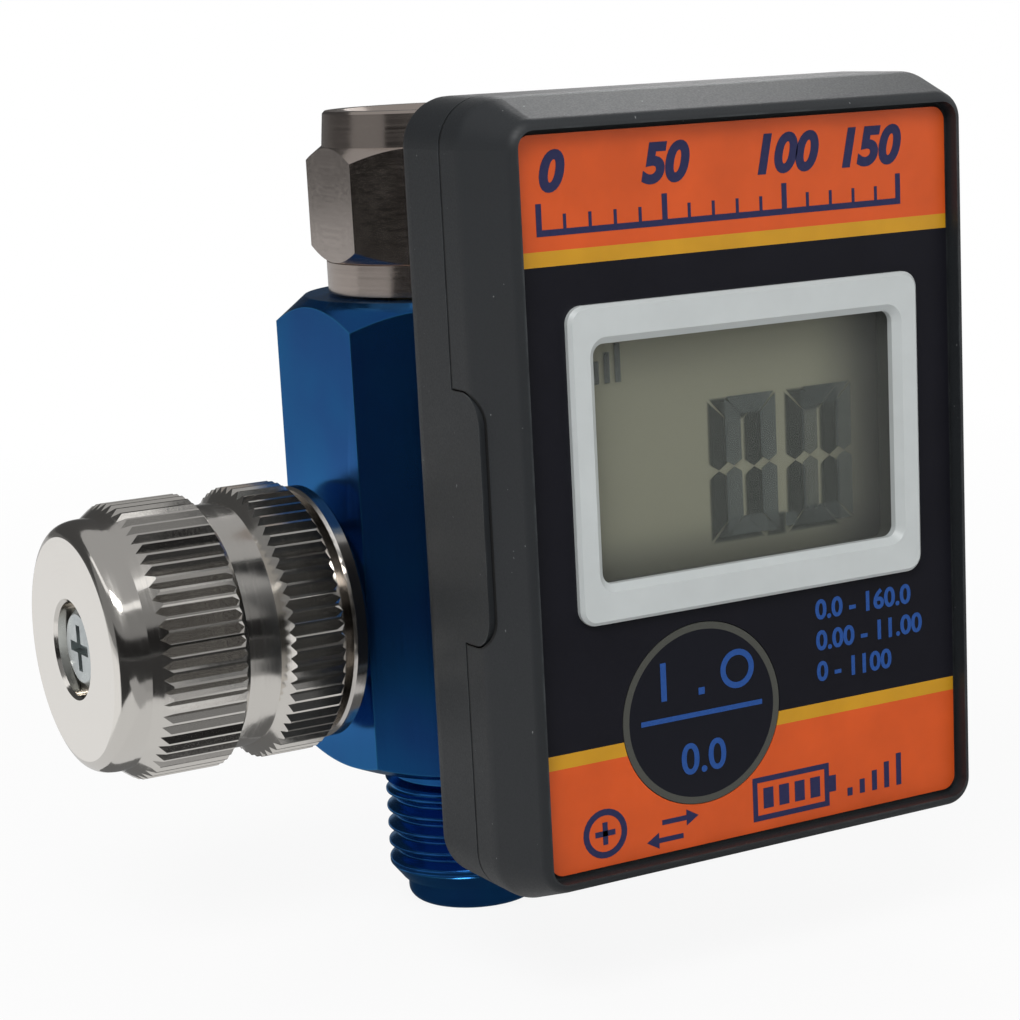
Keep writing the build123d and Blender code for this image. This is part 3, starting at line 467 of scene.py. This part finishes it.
def buttonBlack():
    look = {
        "face": linear(22, 23, 32),
        "ring": linear(74, 75, 70),
        "ringFrom": 5.95,
        "centre": (2.83, 10.2),
        "specular": 0.4,
        "roughness": (0.3, 0.44),
        "grain": (5.0, 3.0),
        "depth": 0.003,
        "bump": 0.4,
    }
    mat, tree, bsdf = newMaterial("buttonBlack")
    setBase(bsdf, look["face"], look["roughness"][0], specular=look["specular"])
    sep = splitCoords(tree)
    offsets = [
        maths(tree, "SUBTRACT", coord, centre * mm)
        for coord, centre in zip((sep[0], sep[2]), look["centre"])
    ]
    ring = maths(tree, "GREATER_THAN", hypotenuse(tree, *offsets), look["ringFrom"] * mm)
    plug(tree, mixColour(tree, ring, look["face"], look["ring"]), bsdf.inputs["Base Color"])
    grainSurface(tree, bsdf, look)
    return mat


def printInk(name, colour, alpha=1.0):
    look = {
        "roughness": 0.45,
        "specular": 0.3,
        "wear": 3.0,
        "wearSpan": (0.35, 0.65),
        "wearShare": 0.18,
        "paler": (1.5, 0.01),
    }
    mat, tree, bsdf = newMaterial(name)
    setBase(bsdf, colour, look["roughness"], specular=look["specular"], alpha=alpha)
    wear = remap(tree, noise(tree, look["wear"]), *look["wearSpan"], 0.0, look["wearShare"])
    times, plus = look["paler"]
    pale = tuple(c * times + plus for c in colour)
    plug(tree, mixColour(tree, wear, colour, pale), bsdf.inputs["Base Color"])
    return mat


def circuitGreen():
    look = {
        "Color1": (0.012, 0.14, 0.05),
        "Color2": (0.016, 0.17, 0.06),
        "Mortar": (0.05, 0.3, 0.1),
        "tracks": 0.35,
        "trackWidth": 0.03,
        "roughness": 0.35,
        "depth": 0.02,
        "bump": 0.3,
    }
    mat, tree, bsdf = newMaterial("circuitGreen")
    setBase(bsdf, look["Color1"], look["roughness"])
    tracks = add(tree, "ShaderNodeTexBrick")
    tracks.inputs["Scale"].default_value = look["tracks"] / mm
    tracks.inputs["Mortar Size"].default_value = look["trackWidth"]
    for key in ("Color1", "Color2", "Mortar"):
        tracks.inputs[key].default_value = (*look[key], 1)
    plug(tree, objectCoords(tree), tracks.inputs["Vector"])
    plug(tree, tracks.outputs["Color"], bsdf.inputs["Base Color"])
    bump(tree, bsdf, tracks.outputs["Fac"], look["depth"], look["bump"])
    return mat


bodyAxis, knobAxis = (0, 0, 0), (0, 0, 14.8)
blue = anodisedBlue()
nickel = turnedMetal("nickelPlate", (0.62, 0.54, 0.49), (0.12, 0.22), 2, bodyAxis, 4.0)
bonnetNickel = turnedMetal("bonnetNickel", (0.66, 0.63, 0.60), (0.1, 0.18), 0, knobAxis, 5.0)
chrome = turnedMetal("knobChrome", (0.80, 0.77, 0.725), (0.08, 0.15), 0, knobAxis, 6.0, 0.0008)
brass = brightMetal("turnedBrass", (0.72, 0.52, 0.24), (0.2, 0.34), 5.0, tarnish=(0.45, 0.3, 0.12))
steel = brightMetal("plainSteel", (0.55, 0.55, 0.56), (0.25, 0.4), 6.0)
zinc = brightMetal("zincPlate", (0.62, 0.66, 0.66), (0.24, 0.4), 3.0, 0.006, (0.42, 0.46, 0.47))
springWire = brightMetal("springWire", (0.4, 0.4, 0.42), (0.25, 0.4), 7.0)
rubber = mouldedPlastic("blackRubber", (0.02, 0.02, 0.021), 0.75, 3.0, 0.01, 0.2, 0.25)
nylon = mouldedPlastic("naturalNylon", (0.72, 0.69, 0.6), 0.5)
case = caseGrey()
label = printedLabel()
bezel = bezelWhite()
window = clearWindow()
crystal = liquidCrystal()
button = buttonBlack()
pearl = mouldedPlastic("pearlFilm", (0.42, 0.42, 0.34), 0.4)
frameWhite = mouldedPlastic("frameWhite", (0.7, 0.7, 0.68), 0.45)
contactRubber = mouldedPlastic("contactRubber", (0.5, 0.2, 0.16), 0.6)
board = circuitGreen()
blackPlastic = mouldedPlastic("blackPlastic", (0.02, 0.02, 0.022), 0.4)
gold = brightMetal("contactGold", (0.83, 0.62, 0.26), (0.2, 0.3), 5.0)
navyInk = printInk("navyInk", linear(38, 40, 78))
blueInk = printInk("blueInk", linear(28, 72, 140))
segmentInk = printInk("segmentInk", linear(78, 86, 82), 0.58)
# a fainter copy of segmentInk, as painted shade for the zero that lies in the frame's painted
# shadow
shadedSegmentInk = printInk("shadedSegmentInk", linear(78, 86, 82), 0.34)
shadowInk = printInk("shadowInk", linear(86, 95, 86), 0.11)
print("stage: materials")

finishes = {
    "regulator_body": blue,
    "swivel_stem": brass,
    "stem_o_ring": rubber,
    "swivel_washer": nylon,
    "swivel_nut": nickel,
    "bonnet": bonnetNickel,
    "bonnet_gasket": rubber,
    "bonnet_cap": brass,
    "thrust_washer": nylon,
    "adjusting_spindle": steel,
    "spindle_clip": springWire,
    "adjusting_nut": brass,
    "knob": chrome,
    "knob_screw": zinc,
    "main_spring": springWire,
    "piston": brass,
    "piston_o_ring": rubber,
    "valve_seat": brass,
    "seat_o_ring": rubber,
    "seat_spacer": brass,
    "poppet": brass,
    "valve_pad": rubber,
    "poppet_spring": springWire,
    "gauge_stem": brass,
    "gauge_seal": nylon,
    "stem_nut": brass,
    "pressure_sensor": steel,
    "rear_shell": case,
    "front_shell": case,
    "case_screws": zinc,
    "face_label": label,
    "display_bezel": bezel,
    "display_window": window,
    "lcd_glass": crystal,
    "lcd_reflector": pearl,
    "lcd_frame": frameWhite,
    "contact_strip_upper": contactRubber,
    "contact_strip_lower": contactRubber,
    "circuit_board": board,
    "tactile_switch": blackPlastic,
    "switch_plunger": blackPlastic,
    "zero_button": button,
    "battery_contact": gold,
    "coin_battery": steel,
    "battery_clip": gold,
}
sharpAngle = 28


def giveFinish(obj, material):
    obj.data.materials.clear()
    obj.data.materials.append(material)


def shadeByAngle(obj, degrees):
    mesh = obj.data
    mesh.polygons.foreach_set("use_smooth", [True] * len(mesh.polygons))
    mesh.set_sharp_from_angle(angle=math.radians(degrees))
    obj.modifiers.new("faceWeights", "WEIGHTED_NORMAL").keep_sharp = True


for name, material in finishes.items():
    giveFinish(nodes[name], material)
    shadeByAngle(nodes[name], sharpAngle)
print("stage: finishes on", len(finishes), "nodes")


def newPiece(name, mesh, material, body):
    obj = bpy.data.objects.new(name, mesh)
    bpy.context.scene.collection.objects.link(obj)
    giveFinish(obj, material)
    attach(obj, body)
    return obj


# hose thread, with flats as shares of the pitch

thread = {
    "crest": 6.6,
    "root": 5.85,
    "pitch": 1.411,
    "top": 0.0,
    "bottom": -6.85,
    "phase": 0.14,
    "crestFlat": 0.14,
    "rootFlat": 0.12,
    "runOut": 0.7,
    "around": 96,
    "perTurn": 20,
    "sharpAngle": 32,
    "mergeAngle": 0.2,
    "slack": 0.03,
}


def threadDepth(turn):
    # Share of the full depth at a place in the pitch: crest, flank, root, flank
    t = turn % 1.0
    crest, root = thread["crestFlat"], thread["rootFlat"]
    flank = (1 - crest - root) / 2
    if t < crest / 2 or t > 1 - crest / 2:
        return 0.0
    if t < crest / 2 + flank:
        return (t - crest / 2) / flank
    if t < crest / 2 + flank + root:
        return 1.0
    return (1 - crest / 2 - t) / flank


def threadRadius(z, around):
    # Radius at a height and a share of the way round, shallower towards both ends
    turn = (z - thread["top"]) / thread["pitch"] - around + thread["phase"]
    near = min(thread["top"] - z, z - thread["bottom"])
    fade = min(1.0, max(0.0, near / thread["runOut"]))
    return thread["crest"] - (thread["crest"] - thread["root"]) * threadDepth(turn) * fade


def threadedBody():
    mesh = nodes["regulator_body"].data.copy()
    tiny = 1e-6
    bm = bmesh.new()
    bm.from_mesh(mesh)
    bmesh.ops.remove_doubles(bm, verts=bm.verts, dist=tiny / 10)
    # one face for each flat, so that its shading stays even up to its edges
    merge = math.radians(thread["mergeAngle"])
    bmesh.ops.dissolve_limit(bm, angle_limit=merge, verts=bm.verts, edges=bm.edges)
    low, high = thread["bottom"] * mm - tiny, thread["top"] * mm + tiny

    def onWall(v):
        off = math.hypot(v.co.x, v.co.y) - thread["crest"] * mm
        return abs(off) < thread["slack"] * mm and low < v.co.z < high

    # the smooth wall goes, and a grid in the thread's shape takes its place
    wall = [f for f in bm.faces if all(onWall(v) for v in f.verts)]
    bmesh.ops.delete(bm, geom=wall, context="FACES")
    length = thread["bottom"] - thread["top"]
    rows = int(-length / thread["pitch"] * thread["perTurn"]) + 1
    grid = []
    for i in range(rows + 1):
        z = thread["top"] + length * i / rows
        ring = []
        for k in range(thread["around"]):
            angle = 2 * math.pi * k / thread["around"]
            r = threadRadius(z, angle / (2 * math.pi)) * mm
            ring.append(bm.verts.new((r * math.cos(angle), r * math.sin(angle), z * mm)))
        grid.append(ring)
    for above, below in zip(grid, grid[1:]):
        for k in range(thread["around"]):
            n = (k + 1) % thread["around"]
            bm.faces.new((above[k], below[k], below[n], above[n]))
    bmesh.ops.recalc_face_normals(bm, faces=bm.faces)
    bm.to_mesh(mesh)
    bm.free()
    obj = newPiece("threaded_body", mesh, blue, "regulator")
    shadeByAngle(obj, thread["sharpAngle"])
    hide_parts("regulator_body")


threadedBody()
print("stage: hose thread")


# flat print: thin plates whose fronts look along -Y

inkThickness = 0.03


def plateMesh(name, outlines, front, thickness=inkThickness):
    # outlines: closed loops of (x, z) in millimetres, none with holes
    bm = bmesh.new()
    for loop in outlines:
        area = sum(a[0] * b[1] - b[0] * a[1] for a, b in zip(loop, loop[1:] + loop[:1]))
        points = loop if area > 0 else loop[::-1]
        face, back = (
            [bm.verts.new((x * mm, -y * mm, z * mm)) for x, z in points]
            for y in (front, front - thickness)
        )
        bm.faces.new(face)
        bm.faces.new(back[::-1])
        for i in range(len(points)):
            j = (i + 1) % len(points)
            bm.faces.new((face[i], back[i], back[j], face[j]))
    mesh = bpy.data.meshes.new(name)
    bm.to_mesh(mesh)
    bm.free()
    return mesh


def bar(x0, z0, x1, z1):
    return [(x0, z0), (x1, z0), (x1, z1), (x0, z1)]


def stairs(x, z, step, width, first, rise, count):
    # bars side by side, each taller than the one before
    return [
        bar(x + i * step, z, x + i * step + width, z + first + i * rise) for i in range(count)
    ]


def ringPieces(x, z, outer, inner, steps=28):
    loops = []
    for i in range(steps):
        a, b = (math.radians(360 * k / steps) for k in (i, i + 1))
        corners = ((outer, a), (outer, b), (inner, b), (inner, a))
        loops.append([(x + r * math.cos(t), z + r * math.sin(t)) for r, t in corners])
    return loops


def numberMesh(text, x, z, size, front, bold, slant=0.0, align="LEFT"):
    curve = bpy.data.curves.new("number", "FONT")
    curve.body = text
    curve.size = size * mm
    curve.shear = slant
    curve.align_x = align
    curve.offset = bold * mm
    curve.resolution_u = 6
    curve.extrude = inkThickness * mm / 2
    holder = bpy.data.objects.new("number", curve)
    bpy.context.scene.collection.objects.link(holder)
    holder.rotation_euler = (math.radians(90), 0, 0)
    holder.location = (x * mm, -(front - inkThickness / 2) * mm, z * mm)
    bpy.context.view_layer.update()
    mesh = bpy.data.meshes.new_from_object(holder)
    mesh.transform(holder.matrix_world)
    bpy.data.objects.remove(holder)
    bpy.data.curves.remove(curve)
    return mesh


def joinMeshes(name, meshes):
    bm = bmesh.new()
    for mesh in meshes:
        bm.from_mesh(mesh)
    joined = bpy.data.meshes.new(name)
    bm.to_mesh(joined)
    bm.free()
    for mesh in meshes:
        bpy.data.meshes.remove(mesh)
    return joined


printFront = 30.02

# ticks: height and width
scaleMarks = {
    "left": -8.3,
    "right": 20.6,
    "z": 44.35,
    "steps": 15,
    "longEvery": 5,
    "longTick": (1.7, 0.42),
    "shortTick": (0.95, 0.24),
    "numbers": ["0", "50", "100", "150"],
    "numberZ": 46.9,
    "numberSize": 3.5,
    "bold": 0.16,
    "slant": 0.22,
}


def scalePrint():
    p = scaleMarks
    left, right, z, thick = p["left"], p["right"], p["z"], p["longTick"][1]
    loops = []
    for i in range(p["steps"] + 1):
        x = left + (right - left) * i / p["steps"]
        tall, wide = p["longTick"] if i % p["longEvery"] == 0 else p["shortTick"]
        loops.append(bar(x - wide / 2, z, x + wide / 2, z + tall))
    loops.append(bar(left - thick / 2, z - thick, right + thick / 2, z))
    meshes = [plateMesh("ticks", loops, printFront)]
    last = len(p["numbers"]) - 1
    for i, text in enumerate(p["numbers"]):
        x = left + (right - left) * i / last
        align = {0: "LEFT", last: "RIGHT"}.get(i, "CENTER")
        meshes.append(
            numberMesh(
                text, x, p["numberZ"], p["numberSize"], printFront, p["bold"], p["slant"], align
            )
        )
    mesh = joinMeshes("scale_print", meshes)
    newPiece("scale_print", mesh, navyInk, "regulator")


# coin: x and two radii.  plus: reach and half width.  arrow: rise from the middle, and length
# and half width of shaft and point.  outline: two x, half height and line.
# charge: first x, width, step and half height.
batteryMarks = {
    "z": 3.1,
    "coin": (-5.4, 1.75, 1.3),
    "plus": (0.8, 0.2),
    "arrowZ": 2.35,
    "arrowRise": 0.62,
    "arrowEnds": (1.2, -1.1),
    "arrowShaft": (2.0, 0.18),
    "arrowPoint": (1.0, 0.58),
    "outline": (6.8, 13.4, 1.6, 0.4),
    "terminal": 0.6,
    "charge": (7.7, 0.85, 1.35, 0.75),
    "charges": 4,
    "stairs": (15.0, 1.9, 1.1, 0.45, 0.6, 0.45, 5),
}


def batteryPrint():
    # Coin cell, arrow pair, battery outline and signal stairs
    p = batteryMarks
    z = p["z"]
    x, outer, inner = p["coin"]
    reach, half = p["plus"]
    loops = ringPieces(x, z, outer, inner)
    loops.append(bar(x - reach, z - half, x + reach, z + half))
    loops.append(bar(x - half, z - reach, x + half, z + reach))
    for side, x in zip((1, -1), p["arrowEnds"]):
        middle = p["arrowZ"] + p["arrowRise"] * side
        length, half = p["arrowShaft"]
        ends = sorted((x, x - length * side))
        loops.append(bar(ends[0], middle - half, ends[1], middle + half))
        length, half = p["arrowPoint"]
        loops.append([(x, middle - half), (x + length * side, middle), (x, middle + half)])
    left, right, half, line = p["outline"]
    end = p["terminal"]
    loops += [
        bar(left, z - half, right, z - half + line),
        bar(left, z + half - line, right, z + half),
        bar(left, z - half + line, left + line, z + half - line),
        bar(right - line, z - half + line, right, z + half - line),
        bar(right, z - end, right + end, z + end),
    ]
    x, wide, step, half = p["charge"]
    for i in range(p["charges"]):
        loops.append(bar(x + i * step, z - half, x + wide + i * step, z + half))
    loops += stairs(*p["stairs"])
    mesh = plateMesh("battery_print", loops, printFront)
    newPiece("battery_print", mesh, navyInk, "regulator")


rangeMarks = {
    "x": 12.6,
    "z": (15.35, 13.1, 10.85),
    "text": ["0.0 - 160.0", "0.00 - 11.00", "0 - 1100"],
    "size": 1.95,
    "bold": 0.055,
    "barZ": (17.75, 18.1),
    "barLength": 5.4,
}


def rangePrint():
    p = rangeMarks
    x, (low, high) = p["x"], p["barZ"]
    meshes = [
        numberMesh(text, x, z, p["size"], printFront, p["bold"])
        for text, z in zip(p["text"], p["z"])
    ]
    meshes.append(plateMesh("rangeBar", [bar(x, low, x + p["barLength"], high)], printFront))
    mesh = joinMeshes("range_print", meshes)
    newPiece("range_print", mesh, blueInk, "regulator")


# line: half length and width.  one: two x from the middle.  ring: x from the middle, two radii.
buttonPrint = {
    "x": 2.83,
    "z": 10.2,
    "line": (5.0, 0.36),
    "markZ": 12.9,
    "markHalf": 1.35,
    "one": (-3.3, -2.85),
    "point": 0.5,
    "ring": (3.0, 1.4, 0.97),
    "zeroZ": 6.05,
    "zeroSize": 3.1,
    "bold": 0.05,
}


def buttonMarks():
    p = buttonPrint
    x, z, mark, foot = p["x"], p["z"], p["markZ"], p["markZ"] - p["markHalf"]
    length, wide = p["line"]
    off, outer, inner = p["ring"]
    point = p["point"]
    loops = [
        bar(x - length, z - wide / 2, x + length, z + wide / 2),
        bar(x + p["one"][0], foot, x + p["one"][1], mark + p["markHalf"]),
        bar(x - point / 2, foot, x + point / 2, foot + point),
    ]
    loops += ringPieces(x + off, mark, outer, inner)
    zero = numberMesh("0.0", x, p["zeroZ"], p["zeroSize"], printFront, p["bold"], align="CENTER")
    mesh = joinMeshes("button_marks", [plateMesh("marks", loops, printFront), zero])
    newPiece("button_marks", mesh, blueInk, "zero_button")


scalePrint()
batteryPrint()
rangePrint()
buttonMarks()


# liquid crystal digits: two zeros on the glass, their blurred shadow below, a point and stairs

digits = {
    "front": 27.94,
    "left": (6.85, 13.3),
    "foot": 21.85,
    "size": (4.25, 9.8),
    "width": 1.3,
    "corner": 0.1,
    "gap": 0.035,
    "point": (11.7, 21.95, 0.95),
    "stairs": (-4.4, 33.6, 0.85, 0.45, 1.0, 0.55, 4),
    "lift": 0.06,
    "thickness": 0.01,
    "shadow": (-1.25, -0.2),
    "shadowSteps": (0.0, 0.12, 0.24, 0.36),
    "shadowShrink": 0.16,
    "shadowLayer": 0.008,
    "shadowThickness": 0.004,
}


def zeroLoops(x, z, grow=0.0):
    # The six bars of a zero, mitred where they meet
    d = digits
    w, h = (side / 2 + grow for side in d["size"])
    t, g, c = d["width"] + 2 * grow, d["gap"], d["corner"]
    midX, midZ = x + d["size"][0] / 2, z + d["size"][1] / 2
    upright = [(w, h - c - g), (w, t / 3), (w - t / 2, g), (w - t, t / 3), (w - t, h - t - g)]
    level = [(c + g - w, h), (w - c - g, h), (w - t - g, h - t), (t + g - w, h - t)]
    loops = [[(midX + i * a, midZ + k * b) for a, b in upright] for i in (1, -1) for k in (1, -1)]
    return loops + [[(midX + a, midZ + k * b) for a, b in level] for k in (1, -1)]


def digitShadow():
    d = digits
    px, pz, size = d["point"]
    sx, sz = d["shadow"]
    for step, grow in enumerate(d["shadowSteps"]):
        loops = []
        for x in d["left"]:
            loops += zeroLoops(x + sx, d["foot"] + sz, grow - d["shadowShrink"])
        x, z = px + sx, pz + sz
        loops.append(bar(x - grow, z - grow, x + size + grow, z + size + grow))
        front = d["front"] + d["shadowLayer"] * step
        mesh = plateMesh("digit_shadow", loops, front, d["shadowThickness"])
        newPiece("digit_shadow_" + str(step), mesh, shadowInk, "regulator")


def digitSegments():
    d = digits
    x, z, size = d["point"]
    marks = stairs(*d["stairs"]) + [bar(x, z, x + size, z + size)]
    # the second zero takes the fainter ink, as painted shade
    sets = (("digit_segments", marks, segmentInk), ("digit_segments_shaded", [], shadedSegmentInk))
    for x, (name, loops, ink) in zip(d["left"], sets):
        loops = loops + zeroLoops(x, d["foot"])
        mesh = plateMesh(name, loops, d["front"] + d["lift"], d["thickness"])
        newPiece(name, mesh, ink, "regulator")


digitShadow()
digitSegments()
print("stage: print")


# camera: place and sensor in millimetres, angles in degrees, focal length and shift in pixels
# of a frame that is "frame" wide, clip distances in metres

shot = {
    "place": (-95.73, -184.128, 58.416),
    "yaw": 30.692,
    "pitch": 12.523,
    "roll": -2.539,
    "focal": 2724.6,
    "shift": (-100, 100),
    "frame": 1020,
    "sensor": 36,
    "clip": (0.01, 20),
}


def makeCamera():
    data = bpy.data.cameras.new("camera")
    cam = bpy.data.objects.new("camera", data)
    bpy.context.scene.collection.objects.link(cam)
    yaw, pitch, roll = (math.radians(shot[k]) for k in ("yaw", "pitch", "roll"))
    level = math.cos(pitch)
    forward = Vector((math.sin(yaw) * level, math.cos(yaw) * level, -math.sin(pitch)))
    right = Vector((math.cos(yaw), -math.sin(yaw), 0))
    up = right.cross(forward)
    c, s = math.cos(roll), math.sin(roll)
    right, up = c * right + s * up, -s * right + c * up
    turn = Matrix((right, up, -forward)).transposed()
    cam.matrix_world = Matrix.Translation(Vector(shot["place"]) * mm) @ turn.to_4x4()
    data.sensor_width = shot["sensor"]
    data.lens = shot["focal"] / shot["frame"] * shot["sensor"]
    data.shift_x, data.shift_y = (side / shot["frame"] for side in shot["shift"])
    data.clip_start, data.clip_end = shot["clip"]
    bpy.context.scene.camera = cam


makeCamera()


# studio

# Cards are panels from dark to white that only reflections see, at a level from 0 to 1.
# Lengths are in millimetres, azimuths in degrees from +X.
# standing: azimuths, heights, level.  lying: azimuths, distances, level.
# lid: distances, height, level.  floorReach: where the floor's glow begins and is full.
studio = {
    "floor": -9.95,
    "floorHalf": 4000,
    "floorColour": (0.86, 0.86, 0.86),
    "floorGlow": 0.9,
    "floorReach": (70, 260),
    "worldLevel": 0.42,
    "cardRadius": 420,
    "cardSteps": 24,
    "cardLift": 0.05,
    "lid": ((2, 420), 421, 0.36),
    "standing": {
        "frontCard": ((192, 322), (-9, 115), 0.015),
        "frontHighCard": ((192, 322), (115, 340), 0.2),
        "rightLowCard": ((322, 420), (-9, 50), 0.12),
        "rightMidCard": ((322, 420), (85, 150), 0.12),
        "rightHighCard": ((322, 420), (150, 420), 0.95),
        "backLowCard": ((60, 150), (-9, 15), 0.42),
        "backMidCard": ((60, 150), (15, 62), 0.12),
        "backHighCard": ((60, 150), (62, 420), 0.06),
        "leftCard": ((150, 192), (-9, 300), 0.2),
    },
    "lying": {
        "centreTable": ((0, 360), (2, 14), 0.12),
        "underKnobTable": ((170, 262), (14, 36), 0.6),
        "underBodyTable": ((262, 530), (14, 36), 0.14),
        "nearLeftTable": ((100, 228), (36, 62), 0.62),
        "bodyFrontTable": ((228, 250), (36, 84), 0.35),
        "nearFrontTable": ((250, 340), (36, 62), 0.3),
        "nearRightTable": ((-20, 100), (36, 62), 0.25),
        "frontLeftTable": ((192, 228), (62, 420), 0.035),
        "frontMidTable": ((228, 250), (84, 420), 0.035),
        "frontTable": ((250, 340), (62, 420), 0.035),
        "leftTable": ((90, 192), (62, 220), 0.84),
        "leftFarTable": ((90, 192), (220, 420), 0.55),
        "backTable": ((-20, 90), (62, 420), 0.35),
    },
}
lamps = {
    "keyLamp": {
        "place": (-240, -300, 400),
        "aim": (0, -10, 22),
        "size": (300, 220),
        "power": 1.6,
    },
    "fillLamp": {
        "place": (330, -360, 160),
        "aim": (5, -10, 22),
        "size": (300, 300),
        "power": 0.4,
    },
    "topLamp": {
        "place": (207, 264, 233),
        "aim": (5, -20, 40),
        "size": (100, 100),
        "power": 0.22,
    },
}


def seenRays(tree):
    # 1 for rays from the camera and for those that a surface reflects or lets through
    path = add(tree, "ShaderNodeLightPath")
    seen = maths(tree, "MAXIMUM", path.outputs["Is Camera Ray"], path.outputs["Is Glossy Ray"])
    return maths(tree, "MAXIMUM", seen, path.outputs["Is Transmission Ray"])


def plainShader(tree, kind, colour, strength=None):
    node = add(tree, kind)
    node.inputs["Color"].default_value = (*colour, 1)
    if strength is not None:
        node.inputs["Strength"].default_value = strength
    return node.outputs[0]


def mixShaders(tree, *sources):
    mix = add(tree, "ShaderNodeMixShader")
    for socket, source in zip(mix.inputs, sources):
        plug(tree, source, socket)
    return mix.outputs[0]


def makeWorld():
    world = bpy.data.worlds.new("studioWorld")
    bpy.context.scene.world = world
    tree, surface = emptyTree(world, "ShaderNodeOutputWorld")
    dim, full = (
        plainShader(tree, "ShaderNodeBackground", (1, 1, 1), level)
        for level in (studio["worldLevel"], 1.0)
    )
    plug(tree, mixShaders(tree, seenRays(tree), dim, full), surface)


def stagePiece(name, verts, faces, material):
    mesh = bpy.data.meshes.new(name)
    mesh.from_pydata([[side * mm for side in vert] for vert in verts], [], faces)
    mesh.materials.append(material)
    obj = bpy.data.objects.new(name, mesh)
    bpy.context.scene.collection.objects.link(obj)
    return obj


def floorMaterial():
    # Diffuse near the object, so that its shadow shows, and white further out
    mat = bpy.data.materials.new("paleFloor")
    tree, surface = emptyTree(mat, "ShaderNodeOutputMaterial")
    diffuse = plainShader(tree, "ShaderNodeBsdfDiffuse", studio["floorColour"])
    glow = plainShader(tree, "ShaderNodeEmission", (1, 1, 1), 1.0)
    x, y, _ = splitCoords(tree)
    near, far = (reach * mm for reach in studio["floorReach"])
    share = remap(tree, hypotenuse(tree, x, y), near, far, studio["floorGlow"], 1.0)
    share = maths(tree, "MULTIPLY", seenRays(tree), share)
    plug(tree, mixShaders(tree, share, diffuse, glow), surface)
    return mat


def makeFloor():
    half, z = studio["floorHalf"], studio["floor"]
    verts = [(-half, -half, z), (half, -half, z), (half, half, z), (-half, half, z)]
    stagePiece("floor", verts, [(0, 1, 2, 3)], floorMaterial())


def curvedCard(name, azimuths, edges, level):
    # edges: (distance from the body's axis, height) of the card's two long sides
    mat = bpy.data.materials.new(name)
    tree, surface = emptyTree(mat, "ShaderNodeOutputMaterial")
    plug(tree, plainShader(tree, "ShaderNodeEmission", (level, level, level)), surface)
    steps = studio["cardSteps"]
    verts = []
    for i in range(steps + 1):
        a = math.radians(azimuths[0] + (azimuths[1] - azimuths[0]) * i / steps)
        verts += [(radius * math.cos(a), radius * math.sin(a), height) for radius, height in edges]
    faces = [(2 * i, 2 * i + 2, 2 * i + 3, 2 * i + 1) for i in range(steps)]
    card = stagePiece(name, verts, faces, mat)
    card.visible_camera = False
    card.visible_diffuse = False
    card.visible_shadow = False
    card.visible_transmission = False


def makeCards():
    radius, low = studio["cardRadius"], studio["floor"] + studio["cardLift"]
    for name, (azimuths, heights, level) in studio["standing"].items():
        curvedCard(name, azimuths, [(radius, height) for height in heights], level)
    for name, (azimuths, distances, level) in studio["lying"].items():
        curvedCard(name, azimuths, [(distance, low) for distance in distances], level)
    distances, height, level = studio["lid"]
    curvedCard("lidCard", (0, 360), [(distance, height) for distance in distances], level)


def areaLamp(name, place, aim, size, power):
    data = bpy.data.lights.new(name, "AREA")
    data.shape = "RECTANGLE"
    data.size, data.size_y = (side * mm for side in size)
    data.energy = power
    lamp = bpy.data.objects.new(name, data)
    bpy.context.scene.collection.objects.link(lamp)
    lamp.location = Vector(place) * mm
    direction = Vector(aim) * mm - lamp.location
    lamp.rotation_euler = direction.to_track_quat("-Z", "Y").to_euler()


makeWorld()
makeFloor()
makeCards()
for name, settings in lamps.items():
    areaLamp(name, **settings)
print("stage: studio")

scene = bpy.context.scene
scene.view_settings.view_transform = "Standard"
